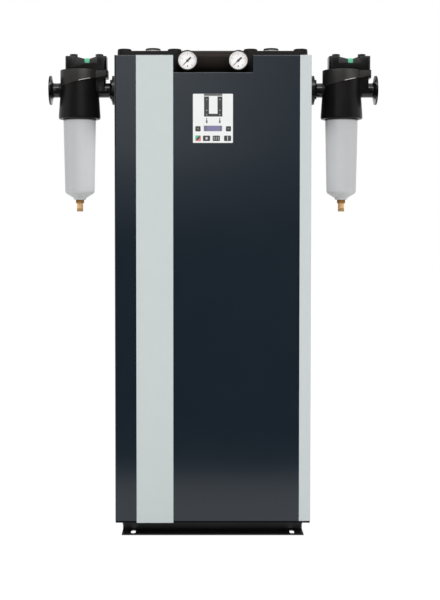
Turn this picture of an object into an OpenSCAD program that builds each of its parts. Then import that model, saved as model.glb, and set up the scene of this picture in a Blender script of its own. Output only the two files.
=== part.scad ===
// Compact twin-tower desiccant air dryer with a prefilter and an afterfilter.
// Millimetres. The origin is on the floor under the middle of the cabinet.
// The front faces -Y, the inlet is at +X and the outlet at -X, +Z is up.

/* [Cabinet] */
// Clear gap between each tower's outer side and the cover
side_gap = 2; // [1:0.5:10]
// Depth of the closed cabinet, front to back
cab_d = 280; // [272:2:330]
// Sheet thickness of the covers
sheet = 1.5; // [1:0.1:2]
// Outside radius of the covers' folded corners
fold_r = 4; // [3:0.5:8]
// Outside radius of the front cover's folds along its upper edges
edge_r = 3; // [2.5:0.5:4]
// Height of the covers' lower edge above the floor
cover_z = 32; // [26:1:40]
// Height of the covers' set-back lower edge
hem_h = 5; // [3:0.5:10]
// How far the tower caps stand above the covers
cap_show = 19; // [15:1:22]
// Width of the notch that the gauges are seen through
notch_w = 202; // [192:2:210]
// Height of the notch
notch_h = 43; // [42:1:48]

/* [Stripes] */
// Distance of the wide silver stripe from the cabinet's left side
stripe_inset = 55; // [40:1:70]
// Width of the silver strip at the right-hand edge
edge_w = 29; // [20:1:40]
// Thickness of the silver foil
foil_t = 0.4; // [0.3:0.1:0.8]

/* [Towers] */
// Width and depth of each tower column
tower_w = 166.5; // [160:0.5:176]
// Clear width between the two towers
tower_gap = 160; // [156:2:180]
// Wall of each tower column at its thinnest
tower_wall = 16; // [11.5:0.5:17]
// Length of each tower column
tower_h = 1045; // [900:5:1200]
// Height of each tower cap, without its bosses
cap_h = 130; // [126:1:150]
// Height of a cap's corner bosses
boss_h = 6; // [3:0.5:8]
// Diameter of the tower bolts
bolt_d = 10; // [8:1:12]

/* [Base] */
// Clearance of the bottom manifold above the floor
man_z = 8; // [6:1:12]
// Height of the bottom manifold
man_h = 62; // [58:1:80]
// Distance of the feet's ends from the cabinet's sides
foot_inset = 16.5; // [8:0.5:25]
// Plate thickness of the feet
foot_t = 3; // [2.5:0.5:5]
// Distance of the floor slots from the feet's ends
slot_inset = 28.5; // [24:0.5:46]
// Width of a floor slot
slot_w = 12; // [9:0.5:14]
// Metal left beyond each end of a floor slot
slot_end = 8.25; // [7:0.25:12]

/* [Ports] */
// Port axis below the top of the tower caps
port_drop = 92; // [88:1:96]
// Bore of the ports
port_d = 26; // [20:1:28]
// Outside diameter of the port stubs
stub_d = 38; // [36:0.5:40]
// Diameter of the port flanges
flange_d = 77; // [76:0.5:84]
// Rim thickness of a filter flange
flange_t = 4.5; // [4:0.5:8]
// Flange bolt circle
flange_pcd = 58; // [57:0.5:60]
// Distance of the inlet port's face from the cabinet's side
inlet_reach = 14.5; // [9:0.5:20]
// Distance of the outlet port's face from the cabinet's side
outlet_reach = 9.5; // [9:0.5:20]

/* [Filters] */
// Diameter of a filter head across its raised band
head_d = 101.5; // [98:0.5:110]
// Diameter of a filter bowl below its head
bowl_d = 86; // [82:1:90]
// Length of a filter bowl to the start of its cone
bowl_l = 189; // [150:1:240]
// Wall of a filter bowl
bowl_t = 4; // [3:0.5:5]
// Height of the indicator block
block_h = 36; // [34:1:44]
// Lift of the indicator flag
flag_lift = 5; // [3:0.5:6]

/* [Gauges] */
// Distance of each gauge from the middle
gauge_x = 64.5; // [60:0.5:66]
// Outside diameter of a gauge case
gauge_d = 51; // [50:0.5:56]
// Visible diameter of a gauge dial
dial_d = 46.5; // [44:0.5:47]
// Depth of a gauge case
gauge_depth = 30; // [28:1:34]
// Length of a gauge pointer from its axis
pointer_l = 16; // [14:0.5:20]

/* [Controls] */
// Width of the keypad panel
panel_w = 101.5; // [96:0.5:116]
// Height of the keypad panel
panel_h = 124; // [120:1:136]
// Top of the keypad panel below the top of the covers
panel_drop = 98; // [90:1:120]
// Thickness of the keypad panel
panel_t = 0.8; // [0.6:0.1:1.2]

/* [Hidden] */
$fn = 64;
eps = 0.01;

// Gap between faces that lie side by side without touching
clear = 0.2;
// Radial clearance of a running fit
run = 0.05;
// Clearance on each side of a sliding piece
slide = 0.3;

tower_x = (tower_gap + tower_w) / 2;
cab_w = tower_gap + 2 * tower_w + 2 * (side_gap + sheet);
front_y = -cab_d / 2;
man_top = man_z + man_h;
man_mid = man_z + man_h / 2;
tower_top = man_top + tower_h;
cap_top = tower_top + cap_h;
cover_top = cap_top - cap_show;
notch_z = cover_top - notch_h;
port_z = cap_top - port_drop;
tower_half = tower_w / 2;
bore_d = tower_w - 2 * tower_wall;
boss_r = 18;
boss_edge = 1.2;
bolt_off = tower_half - boss_r - 0.5;
corner_r = 18;
bolt_r = bolt_d / 2;
bolt_head_r = bolt_d * 0.8;
bolt_head_h = bolt_d;

// Passages inside the caps, the top manifold and the bottom manifold
pass_r = 12;
shuttle_y = -40;
shuttle_z = cap_top - 33;
shuttle_r = 18;
chamber_half = 42;
riser_x = 12;
riser_r = 17;
riser_wall = 3;
riser_seat = 10;
outlet_x = -14;
plenum_r = bore_d / 2 - 4;
plenum_h = 8;
pass_x = tower_gap / 2 + 36;

// Top manifold block between the caps
top_man_drop = 120;
top_man_back = 40;
top_man_round = 20;
top_man_rise = 3;

// Round seals
ring_r = 1.3;
groove_w = 3.2;
groove_d = 2 * ring_r;
tower_ring_r = bore_d / 2 + 4;
flange_ring_r = 22.5;

// Desiccant bed, its screens and springs
screen_t = 3;
screen_foot = 20;
spring_h = 50;
wire_r = 2;
coil_r = bore_d / 2 - 20;

// Purge valves on the bottom manifold
valve_x = 55;
valve_y = -45;
valve_w = 44;
valve_d = 50;
valve_h = 44;
valve_lift = 4;
plunger_r = 7;
plunger_l = 40;
seat_h = 22;
seat_gap = 0.4;
spring_room = 17.6;
tube_r = 9;
tube_end = 4;
tube_bore = seat_gap + plunger_l + valve_lift + spring_room;
tube_h = seat_h + tube_bore + tube_end - valve_h;
coil_w = 36;
coil_h = tube_h - 8;
chamber_r = 12;
chamber_h = 15;
silencer_bore = 6;
silencer_z = seat_h + chamber_h / 2;
silencer_r = 13;
silencer_l = 70;

// Feet
foot_h = 58;
foot_bend = 5;
foot_web_y = -tower_half - foot_t;
foot_w = cab_w - 2 * foot_inset;
slot_x = foot_w / 2 - slot_inset;
slot_y = (front_y + foot_web_y) / 2;
slot_l = foot_web_y - front_y - 2 * slot_end;
foot_bolt_x = foot_w / 2 - 40;
foot_bolt_z = 45;
foot_bolt_r = 4;
foot_bolt_l = 16;
foot_hex_r = 7.5;
foot_hex_h = 5.3;

// Fill plugs
plug_x = tower_x - 5.25;
plug_y = 38;
plug_neck = 18.2;
plug_cap_r = 20.2;
plug_cap_t = 4.8;
plug_step = 0.5;
plug_hex_h = 8;
plug_hex_r = 15;

// Port flanges on the dryer
flange_r = flange_d / 2;
stub_r = stub_d / 2;
port_r = port_d / 2;
port_seat = 12;
flange_screw_r = 3;
flange_hole_r = flange_screw_r + 0.3;
line_hole_r = flange_screw_r + 0.5;
screw_head_r = 5;
screw_head_h = 5;
cone_l = 8.5;
cut_r = stub_r + 5;

// Filters: lengths from the head's axis and the port axis
face_l = 78.5;
face_r = 92;
head_up = 51.5;
head_down = 76.5;
head_r = head_d / 2;
flare_r = head_r + 4.5;
flare_round = 4;
band_t = 1.5;
band_rise = 19.8;
band_slope = 13.6;
waist_r = head_r - band_t;
waist_z = 14;
lug_x = 76;
lug_half = 24;
lug_z = 31;
step_x = 69.5;
bowl_r = bowl_d / 2;
neck_r = bowl_r - 5;
neck_h = 22;
bowl_low_r = bowl_r - 3.9;
bowl_end = head_down + bowl_l;
bowl_round = 10;
nose_r = 17.5;
nose_z = bowl_end + 19;
tail_r = 15.5;
tail_z = nose_z + 5;
block_x0 = -35.5;
block_x1 = 73.2;
block_half = 26;
block_mid = (block_x0 + block_x1) / 2;
block_bolt = 34;
recess_half = 29.6;
recess_up = 18;
recess_z = head_up + recess_up;
flag_x = 21.4;
flag_w = 13.6;
flag_h = block_h - recess_up - flag_lift;
dip_half = flag_w / 2 + 1.5;
dip_left = 17;
dip_right = 12;
flag_stem_r = 3;
element_r = bowl_low_r - bowl_t - 6;
element_top = 72;
element_l = bowl_l - 24;
drain_bore = 3;
hex_h = 9;
hex_r = 10.8;
barrel_r = 8.2;
barrel_h = 13.5;
knob_r = 8.2;
knob_h = 8;

// Gauges: lengths are taken from the back of the case towards the front
gauge_r = gauge_d / 2;
dial_r = dial_d / 2;
gauge_rise = 5.1;
gauge_z = notch_z + gauge_r + gauge_rise;
gauge_back = front_y + 4 + gauge_depth;
gauge_lip = 1.5;
bezel_h = 6;
bezel_step = 0.4;
lens_t = 1.5;
well_r = dial_r + 0.8;
dial_z = gauge_depth - 13;
dial_t = 0.8;
stem_r = 6.5;
stem_in = 18;
spindle_r = 1;
pointer_half = 1.3;
pointer_tail = 11.4;
tail_half = 1.8;

// Cover seams and the foil round the right-hand edge
seam_half = 16;
seam_end = 4;
edge_side = 20;
hem_in = 0.5;

// Control panel and controller
panel_z = cover_top - panel_drop - panel_h / 2;
lcd_w = 46;
lcd_h = 14;
lcd_dz = -25.5;
box_w = 116;
box_h = 124;
box_d = 44;
box_t = 2.5;
board_t = 1.6;
board_y = 16;

// Basic shapes

// Rectangle with true round corners
module round_rect(w, d, r) {
    square([w - 2 * r, d], center = true);
    square([w, d - 2 * r], center = true);
    for (sx = [-1, 1], sy = [-1, 1])
        translate([sx * (w / 2 - r), sy * (d / 2 - r)])
            circle(r);
}

// Slot with round ends, its length along Y
module slot(w, l) {
    square([w, l - w], center = true);
    for (s = [-1, 1])
        translate([0, s * (l - w) / 2])
            circle(w / 2);
}

// Cylinder along X from x0 to x1
module x_rod(r, x0, x1) {
    translate([x0, 0, 0])
        rotate([0, 90, 0])
            cylinder(r = r, h = x1 - x0);
}

// Cylinder along Y from y0 to y1
module y_rod(r, y0, y1) {
    translate([0, y1, 0])
        rotate([90, 0, 0])
            cylinder(r = r, h = y1 - y0);
}

// Round seal about Z
module ring(r) {
    rotate_extrude()
        translate([r, 0])
            circle(ring_r);
}

// Groove for a round seal about Z, from z = 0 upwards
module ring_groove(r) {
    rotate_extrude()
        translate([r - groove_w / 2, -eps])
            square([groove_w, groove_d + eps]);
}

// Open coil about Z between z = 0 and z = h
module coil(r, wire, h, turns) {
    steps = turns * 16;
    sides = 8;
    rise = h - 2 * wire;
    points = [
        for (i = [0 : steps], j = [0 : sides - 1])
            let (t = 360 * turns * i / steps, a = 360 * j / sides)
            [
                (r + wire * cos(a)) * cos(t),
                (r + wire * cos(a)) * sin(t),
                wire + rise * i / steps + wire * sin(a)
            ]
    ];
    skin = [
        for (i = [0 : steps - 1], j = [0 : sides - 1])
            let (k = (j + 1) % sides)
            [i * sides + j, (i + 1) * sides + j, (i + 1) * sides + k, i * sides + k]
    ];
    first = [[for (j = [0 : sides - 1]) j]];
    last = [[for (j = [sides - 1 : -1 : 0]) steps * sides + j]];
    polyhedron(points = points, faces = concat(skin, first, last), convexity = 10);
}

// Socket-head screw along -Z, its head's underside at z = 0
module socket_screw(r, head_r, head_h, l) {
    translate([0, 0, -l])
        cylinder(r = r, h = l);
    difference() {
        translate([0, 0, -eps])
            cylinder(r = head_r, h = head_h + eps);
        translate([0, 0, head_h * 0.45])
            cylinder(r = r, h = head_h, $fn = 6);
    }
}

// Hex-head bolt along -Z, its head's underside at z = 0
module hex_bolt(r, hex, head_h, l) {
    translate([0, 0, -l])
        cylinder(r = r, h = l);
    translate([0, 0, -eps])
        cylinder(r = hex, h = head_h + eps, $fn = 6);
}

// The four bolt places of a tower
module at_tower_bolts() {
    for (sx = [-1, 1], sy = [-1, 1])
        translate([sx * bolt_off, sy * bolt_off, 0])
            children();
}

// The four screw places of a flange, in a plane across X
module at_flange_screws() {
    for (a = [45 : 90 : 315])
        rotate([a, 0, 0])
            translate([0, 0, flange_pcd / 2])
                children();
}

// Base

// Section of a foot: a flange on the floor towards -Y and an upright web
module foot_section() {
    reach = foot_web_y + foot_t - front_y;
    difference() {
        union() {
            translate([foot_web_y, foot_bend])
                square([foot_t, foot_h - foot_bend]);
            translate([front_y, 0])
                square([reach - foot_bend, foot_t]);
            intersection() {
                translate([foot_web_y + foot_t - foot_bend, foot_bend])
                    circle(foot_bend);
                translate([foot_web_y + foot_t - foot_bend, 0])
                    square(foot_bend);
            }
        }
        translate([foot_web_y + foot_t - foot_bend, foot_bend])
            circle(foot_bend - foot_t);
    }
}

module foot() {
    difference() {
        rotate([90, 0, 90])
            translate([0, 0, -foot_w / 2])
                linear_extrude(foot_w)
                    foot_section();
        for (s = [-1, 1])
            translate([s * slot_x, slot_y, -1])
                linear_extrude(foot_t + 2)
                    slot(slot_w, slot_l);
        at_foot_bolts()
            translate([0, 0, -foot_t - 1])
                cylinder(r = foot_bolt_r, h = foot_t + 2);
    }
}

// Bolt places on the front of the front foot's web, bolts along +Y
module at_foot_bolts() {
    for (x = [-foot_bolt_x, 0, foot_bolt_x])
        translate([x, foot_web_y, foot_bolt_z])
            rotate([90, 0, 0])
                children();
}

module front_foot() {
    color("#16181a")
        foot();
}

module rear_foot() {
    color("#16181a")
        rotate([0, 0, 180])
            foot();
}

module foot_bolts() {
    color("#8d9294")
        for (turn = [0, 180])
            rotate([0, 0, turn])
                at_foot_bolts()
                    hex_bolt(foot_bolt_r, foot_hex_r, foot_hex_h, foot_t + foot_bolt_l);
}

// Block under both towers with the inlet shuttle's chamber and the purge passages
module bottom_manifold() {
    tower_pass = tower_gap / 2 + 28;
    color("#1b1d1f")
        difference() {
            translate([0, 0, man_z])
                linear_extrude(man_h)
                    round_rect(foot_w, tower_w, 15);
            translate([0, 0, man_mid]) {
                x_rod(shuttle_r, -chamber_half, chamber_half);
                x_rod(pass_r, -tower_pass, tower_pass);
            }
            for (s = [-1, 1]) {
                translate([s * tower_pass, 0, man_mid])
                    cylinder(r = pass_r, h = man_h);
                translate([s * valve_x, valve_y, man_mid])
                    cylinder(r = 5, h = man_h);
                translate([s * valve_x, 0, man_mid])
                    y_rod(5, valve_y, 0);
                translate([s * tower_x, 0, man_top])
                    mirror([0, 0, 1])
                        ring_groove(tower_ring_r);
                translate([s * tower_x, 0, man_z - 1])
                    at_tower_bolts() {
                        cylinder(r = bolt_r + 0.4, h = man_h + 2);
                        cylinder(r = bolt_head_r + 0.6, h = bolt_head_h + 3);
                    }
            }
            translate([riser_x, 0, man_mid])
                cylinder(r = riser_r - riser_wall, h = man_h);
            translate([riser_x, 0, man_top - riser_seat])
                cylinder(r = riser_r, h = man_h);
            for (turn = [0, 180])
                rotate([0, 0, turn])
                    at_foot_bolts()
                        translate([0, 0, -foot_t - foot_bolt_l - 2])
                            cylinder(r = foot_bolt_r, h = foot_bolt_l + 4);
        }
}

// Double-faced shuttle along X, guided by its discs
module shuttle() {
    disc = 8;
    inner = chamber_half - 16;
    difference() {
        union() {
            x_rod(5, -inner - eps, inner + eps);
            for (s = [-1, 1])
                x_rod(shuttle_r - run, s > 0 ? inner : -inner - disc, s > 0 ? inner + disc : -inner);
        }
        for (a = [0 : 60 : 300])
            rotate([a, 0, 0])
                translate([0, 0, 14.8])
                    x_rod(1.6, -chamber_half, chamber_half);
    }
}

module inlet_shuttle() {
    color("#d8d2c0")
        translate([0, 0, man_mid])
            shuttle();
}

// Towers

module tower() {
    difference() {
        linear_extrude(tower_h)
            difference() {
                round_rect(tower_w, tower_w, corner_r);
                circle(bore_d / 2);
            }
        at_tower_bolts()
            translate([0, 0, -1])
                cylinder(r = bolt_r, h = tower_h + 2);
    }
}

module left_tower() {
    color("#b9bec1")
        translate([-tower_x, 0, man_top])
            tower();
}

module right_tower() {
    color("#b9bec1")
        translate([tower_x, 0, man_top])
            tower();
}

module bed() {
    low = man_top + screen_foot + screen_t;
    high = tower_top - spring_h + plenum_h - screen_t;
    translate([0, 0, low])
        cylinder(r = bore_d / 2 - clear, h = high - low);
}

module left_bed() {
    color("#e9e4d8")
        translate([-tower_x, 0, 0])
            bed();
}

module right_bed() {
    color("#e9e4d8")
        translate([tower_x, 0, 0])
            bed();
}

module screen_disc() {
    difference() {
        cylinder(r = bore_d / 2 - clear, h = screen_t);
        for (a = [0 : 45 : 315])
            rotate([0, 0, a])
                translate([bore_d * 0.3, 0, -1])
                    cylinder(r = 8, h = screen_t + 2);
        translate([0, 0, -1])
            cylinder(r = 12, h = screen_t + 2);
    }
}

module bed_screens() {
    high = tower_top - spring_h + plenum_h - screen_t;
    color("#a7abad")
        for (s = [-1, 1]) {
            translate([s * tower_x, 0, man_top]) {
                translate([0, 0, screen_foot])
                    screen_disc();
                for (a = [22.5 : 90 : 292.5])
                    rotate([0, 0, a])
                        translate([bore_d * 0.43, 0, 0])
                            cylinder(r = 5, h = screen_foot + eps);
            }
            translate([s * tower_x, 0, high])
                screen_disc();
        }
}

module bed_springs() {
    color("#8d9294")
        for (s = [-1, 1])
            translate([s * tower_x, 0, tower_top + plenum_h - spring_h])
                coil(coil_r, wire_r, spring_h, 4);
}

module tower_seals() {
    color("#101010")
        for (s = [-1, 1]) {
            translate([s * tower_x, 0, man_top - ring_r])
                ring(tower_ring_r);
            translate([s * tower_x, 0, tower_top + ring_r])
                ring(tower_ring_r);
        }
}

// Tower cap at the right-hand tower; its passages lead towards the middle
module cap() {
    difference() {
        union() {
            translate([0, 0, tower_top])
                linear_extrude(cap_h)
                    round_rect(tower_w, tower_w, corner_r);
            at_tower_bolts()
                translate([0, 0, cap_top - eps])
                    cylinder(r = boss_r, h = boss_h + eps - boss_edge);
            at_tower_bolts()
                translate([0, 0, cap_top + boss_h - boss_edge - eps])
                    cylinder(r1 = boss_r, r2 = boss_r - boss_edge, h = boss_edge + eps);
        }
        at_tower_bolts() {
            translate([0, 0, tower_top - 1])
                cylinder(r = bolt_r + 0.4, h = cap_h + boss_h + 2);
            translate([0, 0, cap_top + boss_h - bolt_head_h - 1])
                cylinder(r = bolt_head_r + 0.6, h = bolt_head_h + 2);
        }
        translate([0, 0, tower_top - eps])
            cylinder(r = plenum_r, h = plenum_h + eps);
        translate([0, 0, tower_top])
            ring_groove(tower_ring_r);
        translate([0, 0, port_z])
            x_rod(port_r, -tower_half - 1, tower_half + 1);
        translate([0, 0, port_z])
            x_rod(stub_r, tower_half - port_seat, tower_half + 1);
        translate([pass_x - tower_x, shuttle_y, tower_top + plenum_h / 2])
            cylinder(r = pass_r, h = shuttle_z - tower_top - plenum_h / 2);
        translate([0, shuttle_y, shuttle_z])
            x_rod(pass_r, -tower_half - 1, pass_x - tower_x);
        translate([plug_x - tower_x, plug_y, tower_top + plenum_h / 2])
            cylinder(r = pass_r, h = cap_h);
    }
}

module left_cap() {
    color("#141617")
        mirror([1, 0, 0])
            translate([tower_x, 0, 0])
                cap();
}

module right_cap() {
    color("#141617")
        translate([tower_x, 0, 0])
            cap();
}

module tower_bolts() {
    color("#26282a")
        for (s = [-1, 1])
            translate([s * tower_x, 0, 0]) {
                at_tower_bolts()
                    translate([0, 0, cap_top + boss_h - bolt_head_h - 1])
                        socket_screw(bolt_r, bolt_head_r, bolt_head_h, cap_h + boss_h - bolt_head_h + 24);
                at_tower_bolts()
                    translate([0, 0, man_z + bolt_head_h + 2])
                        mirror([0, 0, 1])
                            socket_screw(bolt_r, bolt_head_r, bolt_head_h, man_h - bolt_head_h + 22);
            }
}

module plug_collars() {
    color("#c9cdce")
        for (s = [-1, 1])
            translate([s * plug_x, plug_y, cap_top]) {
                translate([0, 0, -16])
                    cylinder(r = pass_r, h = 16 + eps);
                cylinder(r = plug_hex_r, h = plug_hex_h, $fn = 6);
                translate([0, 0, plug_hex_h - eps])
                    cylinder(r = plug_cap_r - plug_step, h = plug_neck - plug_hex_h + eps);
            }
}

module plug_caps() {
    color("#17191a")
        for (s = [-1, 1])
            translate([s * plug_x, plug_y, cap_top + plug_neck]) {
                cylinder(r = plug_cap_r, h = plug_cap_t - 1);
                translate([0, 0, plug_cap_t - 1 - eps])
                    cylinder(r1 = plug_cap_r, r2 = plug_cap_r - 1, h = 1 + eps);
            }
}

// Block between the caps with the outlet shuttle's chamber
module top_manifold() {
    low = cap_top - top_man_drop;
    tall = top_man_drop + top_man_rise;
    half = tower_gap / 2;
    color("#17191b")
        difference() {
            rotate([90, 0, 90])
                translate([0, 0, -half])
                    linear_extrude(tower_gap)
                        union() {
                            translate([-tower_half, low])
                                square([tower_half + top_man_back, tall - top_man_round]);
                            translate([-tower_half + top_man_round, low])
                                square([tower_half + top_man_back - top_man_round, tall]);
                            translate([-tower_half + top_man_round, low + tall - top_man_round])
                                circle(top_man_round);
                        }
            translate([0, shuttle_y, shuttle_z]) {
                x_rod(shuttle_r, -chamber_half, chamber_half);
                x_rod(pass_r, -half - 1, half + 1);
            }
            translate([outlet_x, shuttle_y, port_z])
                cylinder(r = 10, h = shuttle_z - port_z);
            translate([outlet_x, 0, port_z])
                y_rod(10, shuttle_y, 0);
            translate([0, 0, port_z]) {
                x_rod(port_r, -half - 1, outlet_x);
                x_rod(port_r, riser_x, half + 1);
            }
            translate([riser_x, 0, low - 1])
                cylinder(r = riser_r - riser_wall, h = port_z - low + 1);
            translate([riser_x, 0, low - 1])
                cylinder(r = riser_r, h = riser_seat + 1);
            for (s = [-1, 1])
                translate([s * gauge_x, 0, gauge_z])
                    y_rod(stem_r, -tower_half - 1, shuttle_y);
        }
}

module outlet_shuttle() {
    color("#d8d2c0")
        translate([0, shuttle_y, shuttle_z])
            shuttle();
}

module inlet_riser() {
    low = man_top - riser_seat;
    high = cap_top - top_man_drop + riser_seat;
    color("#b4b8ba")
        translate([riser_x, 0, low])
            difference() {
                cylinder(r = riser_r, h = high - low);
                translate([0, 0, -1])
                    cylinder(r = riser_r - riser_wall, h = high - low + 2);
            }
}

// Distance of a port's face from the middle; 1 is the inlet, -1 the outlet
function port_face(s) = cab_w / 2 + (s > 0 ? inlet_reach : outlet_reach);

// Flanged port on the right-hand cap, made for side s
module port(s) {
    back = cab_w / 2 + 1;
    face = port_face(s);
    translate([0, 0, port_z])
        difference() {
            union() {
                x_rod(stub_r, tower_gap / 2 + tower_w - port_seat, back + eps);
                x_rod(flange_r, back, face);
            }
            x_rod(port_r, 0, face + 1);
            translate([face, 0, 0])
                rotate([0, -90, 0])
                    ring_groove(flange_ring_r);
            at_flange_screws()
                x_rod(flange_screw_r, back - 1, face + 1);
        }
}

module inlet_port() {
    color("#1a1c1d")
        port(1);
}

module outlet_port() {
    color("#1a1c1d")
        mirror([1, 0, 0])
            port(-1);
}

// Purge valves

module at_valve(s) {
    translate([s * valve_x, valve_y, man_top])
        children();
}

module valve_bodies() {
    color("#b08a4a")
        for (s = [-1, 1])
            at_valve(s)
                difference() {
                    union() {
                        translate([-valve_w / 2, -valve_d / 2, 0])
                            cube([valve_w, valve_d, valve_h]);
                        translate([0, 0, valve_h - 1])
                            cylinder(r = tube_r, h = tube_h + 1);
                    }
                    translate([0, 0, -1])
                        cylinder(r = 5, h = seat_h + 2);
                    translate([0, 0, seat_h])
                        cylinder(r = chamber_r, h = chamber_h);
                    translate([0, 0, seat_h + 1])
                        cylinder(r = plunger_r + run, h = tube_bore - 1);
                    translate([0, 0, silencer_z])
                        y_rod(silencer_bore, 0, valve_d / 2 + 1);
                }
}

module valve_coils() {
    color("#202224")
        for (s = [-1, 1])
            at_valve(s)
                translate([0, 0, valve_h + 2])
                    difference() {
                        linear_extrude(coil_h)
                            round_rect(coil_w, coil_w, 4);
                        translate([0, 0, -1])
                            cylinder(r = tube_r + clear, h = coil_h + 2);
                    }
}

module plunger(s) {
    at_valve(s)
        translate([0, 0, seat_h + seat_gap])
            cylinder(r = plunger_r, h = plunger_l);
}

module left_plunger() {
    color("#c4c8c9")
        plunger(-1);
}

module right_plunger() {
    color("#c4c8c9")
        plunger(1);
}

module silencers() {
    color("#d9d4bf")
        for (s = [-1, 1])
            at_valve(s)
                translate([0, valve_d / 2, silencer_z])
                    difference() {
                        union() {
                            y_rod(silencer_bore, -8, eps);
                            translate([0, 8, 0])
                                rotate([90, 0, 0])
                                    cylinder(r = silencer_r + 1.5, h = 8, $fn = 6);
                            y_rod(silencer_r - 1, 8 - eps, silencer_l);
                            for (y = [14 : 10 : silencer_l - 6])
                                y_rod(silencer_r, y, y + 6);
                        }
                        y_rod(4, -9, silencer_l - 6);
                    }
}

// Covers

// Ring of sheet seen from above, outside size less a step
module sheet_loop(step) {
    difference() {
        round_rect(cab_w - 2 * step, cab_d - 2 * step, fold_r - step);
        round_rect(cab_w - 2 * step - 2 * sheet, cab_d - 2 * step - 2 * sheet, fold_r - step - sheet);
    }
}

// Half of the loop, with the seam in the middle of the sides
module half_loop(front) {
    gap = 0.5;
    intersection() {
        sheet_loop(0);
        translate([-cab_w, front ? -cab_d - gap : gap])
            square([2 * cab_w, cab_d]);
    }
}

// Quarter arc of a fold whose two walls would meet at [0, 0], in short steps
function fold_arc(r) = [for (a = [0 : 15 : 90]) [edge_r - r * cos(a), edge_r - r * sin(a)]];

// What a fold takes off the outside of two walls that meet square
module fold_cut() {
    polygon(concat([[-1, edge_r]], fold_arc(edge_r), [[edge_r, -1], [-1, -1]]));
}

// What a fold adds on the inside of them
module fold_fill() {
    near = sheet - clear;
    polygon(concat([[near, edge_r]], fold_arc(edge_r - sheet), [[edge_r, near], [near, near]]));
}

// Section of a fold drawn along X, its walls meeting on the front face at height z
module along_front(x0, x1, z) {
    translate([x0, front_y, z])
        rotate([90, 0, 90])
            linear_extrude(x1 - x0)
                mirror([0, 1])
                    children();
}

// The folds round the front cover's upper edges and its notch, with their ends moved
module front_folds(more) {
    half = notch_w / 2;
    along_front(-cab_w / 2 + fold_r + clear, -half + more, cover_top)
        children();
    along_front(half - more, cab_w / 2 - edge_w - more, cover_top)
        children();
    along_front(-half, half, notch_z)
        children();
    translate([half, front_y, notch_z])
        linear_extrude(notch_h + more)
            children();
}

// Set-back lower edge of the covers
module hem_cut() {
    translate([0, 0, cover_z - 1])
        linear_extrude(hem_h + 1)
            difference() {
                round_rect(cab_w + 2, cab_d + 2, fold_r + 1);
                round_rect(cab_w - 2 * hem_in, cab_d - 2 * hem_in, fold_r - hem_in);
            }
}

module port_holes() {
    translate([0, 0, port_z])
        x_rod(cut_r, -cab_w, cab_w);
}

// Screw places on the right-hand side, screws along -X
module at_cover_screws() {
    for (turn = [0, 180], z = [0.06, 0.35, 0.62, 0.84])
        rotate([0, 0, turn])
            translate([cab_w / 2, turn == 0 ? -8 : 8, cover_z + z * (cover_top - cover_z)])
                rotate([0, 90, 0])
                    children();
}

module front_cover() {
    inner = cab_w / 2 - sheet;
    deep = tower_half;
    flap = -front_y - sheet - deep;
    half = notch_w / 2;
    color("#222b33")
        difference() {
            union() {
                difference() {
                    translate([0, 0, cover_z])
                        linear_extrude(cover_top - cover_z)
                            half_loop(true);
                    translate([-half, front_y - 1, notch_z])
                        cube([notch_w, sheet + 3, notch_h + 1]);
                }
                for (s = [-1, 1]) {
                    translate([s > 0 ? half : -inner + fold_r, front_y + sheet - eps, cover_top - sheet])
                        cube([inner - half - fold_r, flap, sheet]);
                    translate([s > 0 ? half : -half - sheet, front_y + sheet - eps, notch_z - sheet])
                        cube([sheet, flap, notch_h + sheet]);
                }
                translate([-half - eps, front_y + sheet - eps, notch_z - sheet])
                    cube([notch_w + 2 * eps, flap, sheet]);
                front_folds(-clear)
                    fold_fill();
            }
            front_folds(clear)
                fold_cut();
            hem_cut();
            port_holes();
            translate([-lcd_w / 2 - 3, front_y - 1, panel_z + lcd_dz - lcd_h / 2 - 3])
                cube([lcd_w + 6, sheet + 2, lcd_h + 6]);
            at_cover_screws()
                translate([0, 0, -sheet - 1])
                    cylinder(r = 2.7, h = sheet + 2);
        }
}

// Strip behind the side seam, welded to the rear cover's wall
module seam_tongue(inner) {
    tall = cover_top - cover_z - 2 * seam_end;
    translate([inner - sheet, -seam_half, cover_z + seam_end]) {
        cube([sheet, 2 * seam_half, tall]);
        translate([0, seam_half + 1, 0])
            cube([1.5 * sheet, seam_half - 1, tall]);
    }
}

module rear_cover() {
    inner = cab_w / 2 - sheet;
    deep = tower_half;
    flap = cab_d / 2 - sheet - deep;
    tongue = tower_gap / 2 - 2;
    color("#222b33")
        difference() {
            union() {
                translate([0, 0, cover_z])
                    linear_extrude(cover_top - cover_z)
                        half_loop(false);
                translate([-inner + fold_r, deep, cover_top - sheet])
                    cube([2 * inner - 2 * fold_r, flap + eps, sheet]);
                translate([-tongue, top_man_back + 1.5, cover_top - sheet])
                    cube([2 * tongue, deep - top_man_back, sheet]);
                for (side = [0, 1])
                    mirror([side, 0, 0])
                        seam_tongue(inner);
            }
            hem_cut();
            port_holes();
            at_cover_screws()
                translate([0, 0, -2 * sheet - 1])
                    cylinder(r = 2.5, h = 2 * sheet + 2);
            for (i = [-4 : 4], row = [0, 1])
                translate([i * 44, cab_d / 2 - sheet - 1, cover_z + 70 + row * 90])
                    rotate([-90, 0, 0])
                        linear_extrude(sheet + 2)
                            slot(7, 70);
        }
}

// Foil on the front, wrapped over the fold at the top
module accent_stripe() {
    right = -notch_w / 2;
    left = -cab_w / 2 + stripe_inset;
    tall = cover_top - cover_z;
    seat = fold_arc(edge_r);
    back = [for (i = [len(seat) - 1 : -1 : 0]) seat[i]];
    color("#c9cfd0")
        along_front(left, right, cover_top)
            polygon(concat([[-foil_t, tall]], fold_arc(edge_r + foil_t), back, [[0, tall]]));
}

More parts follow.
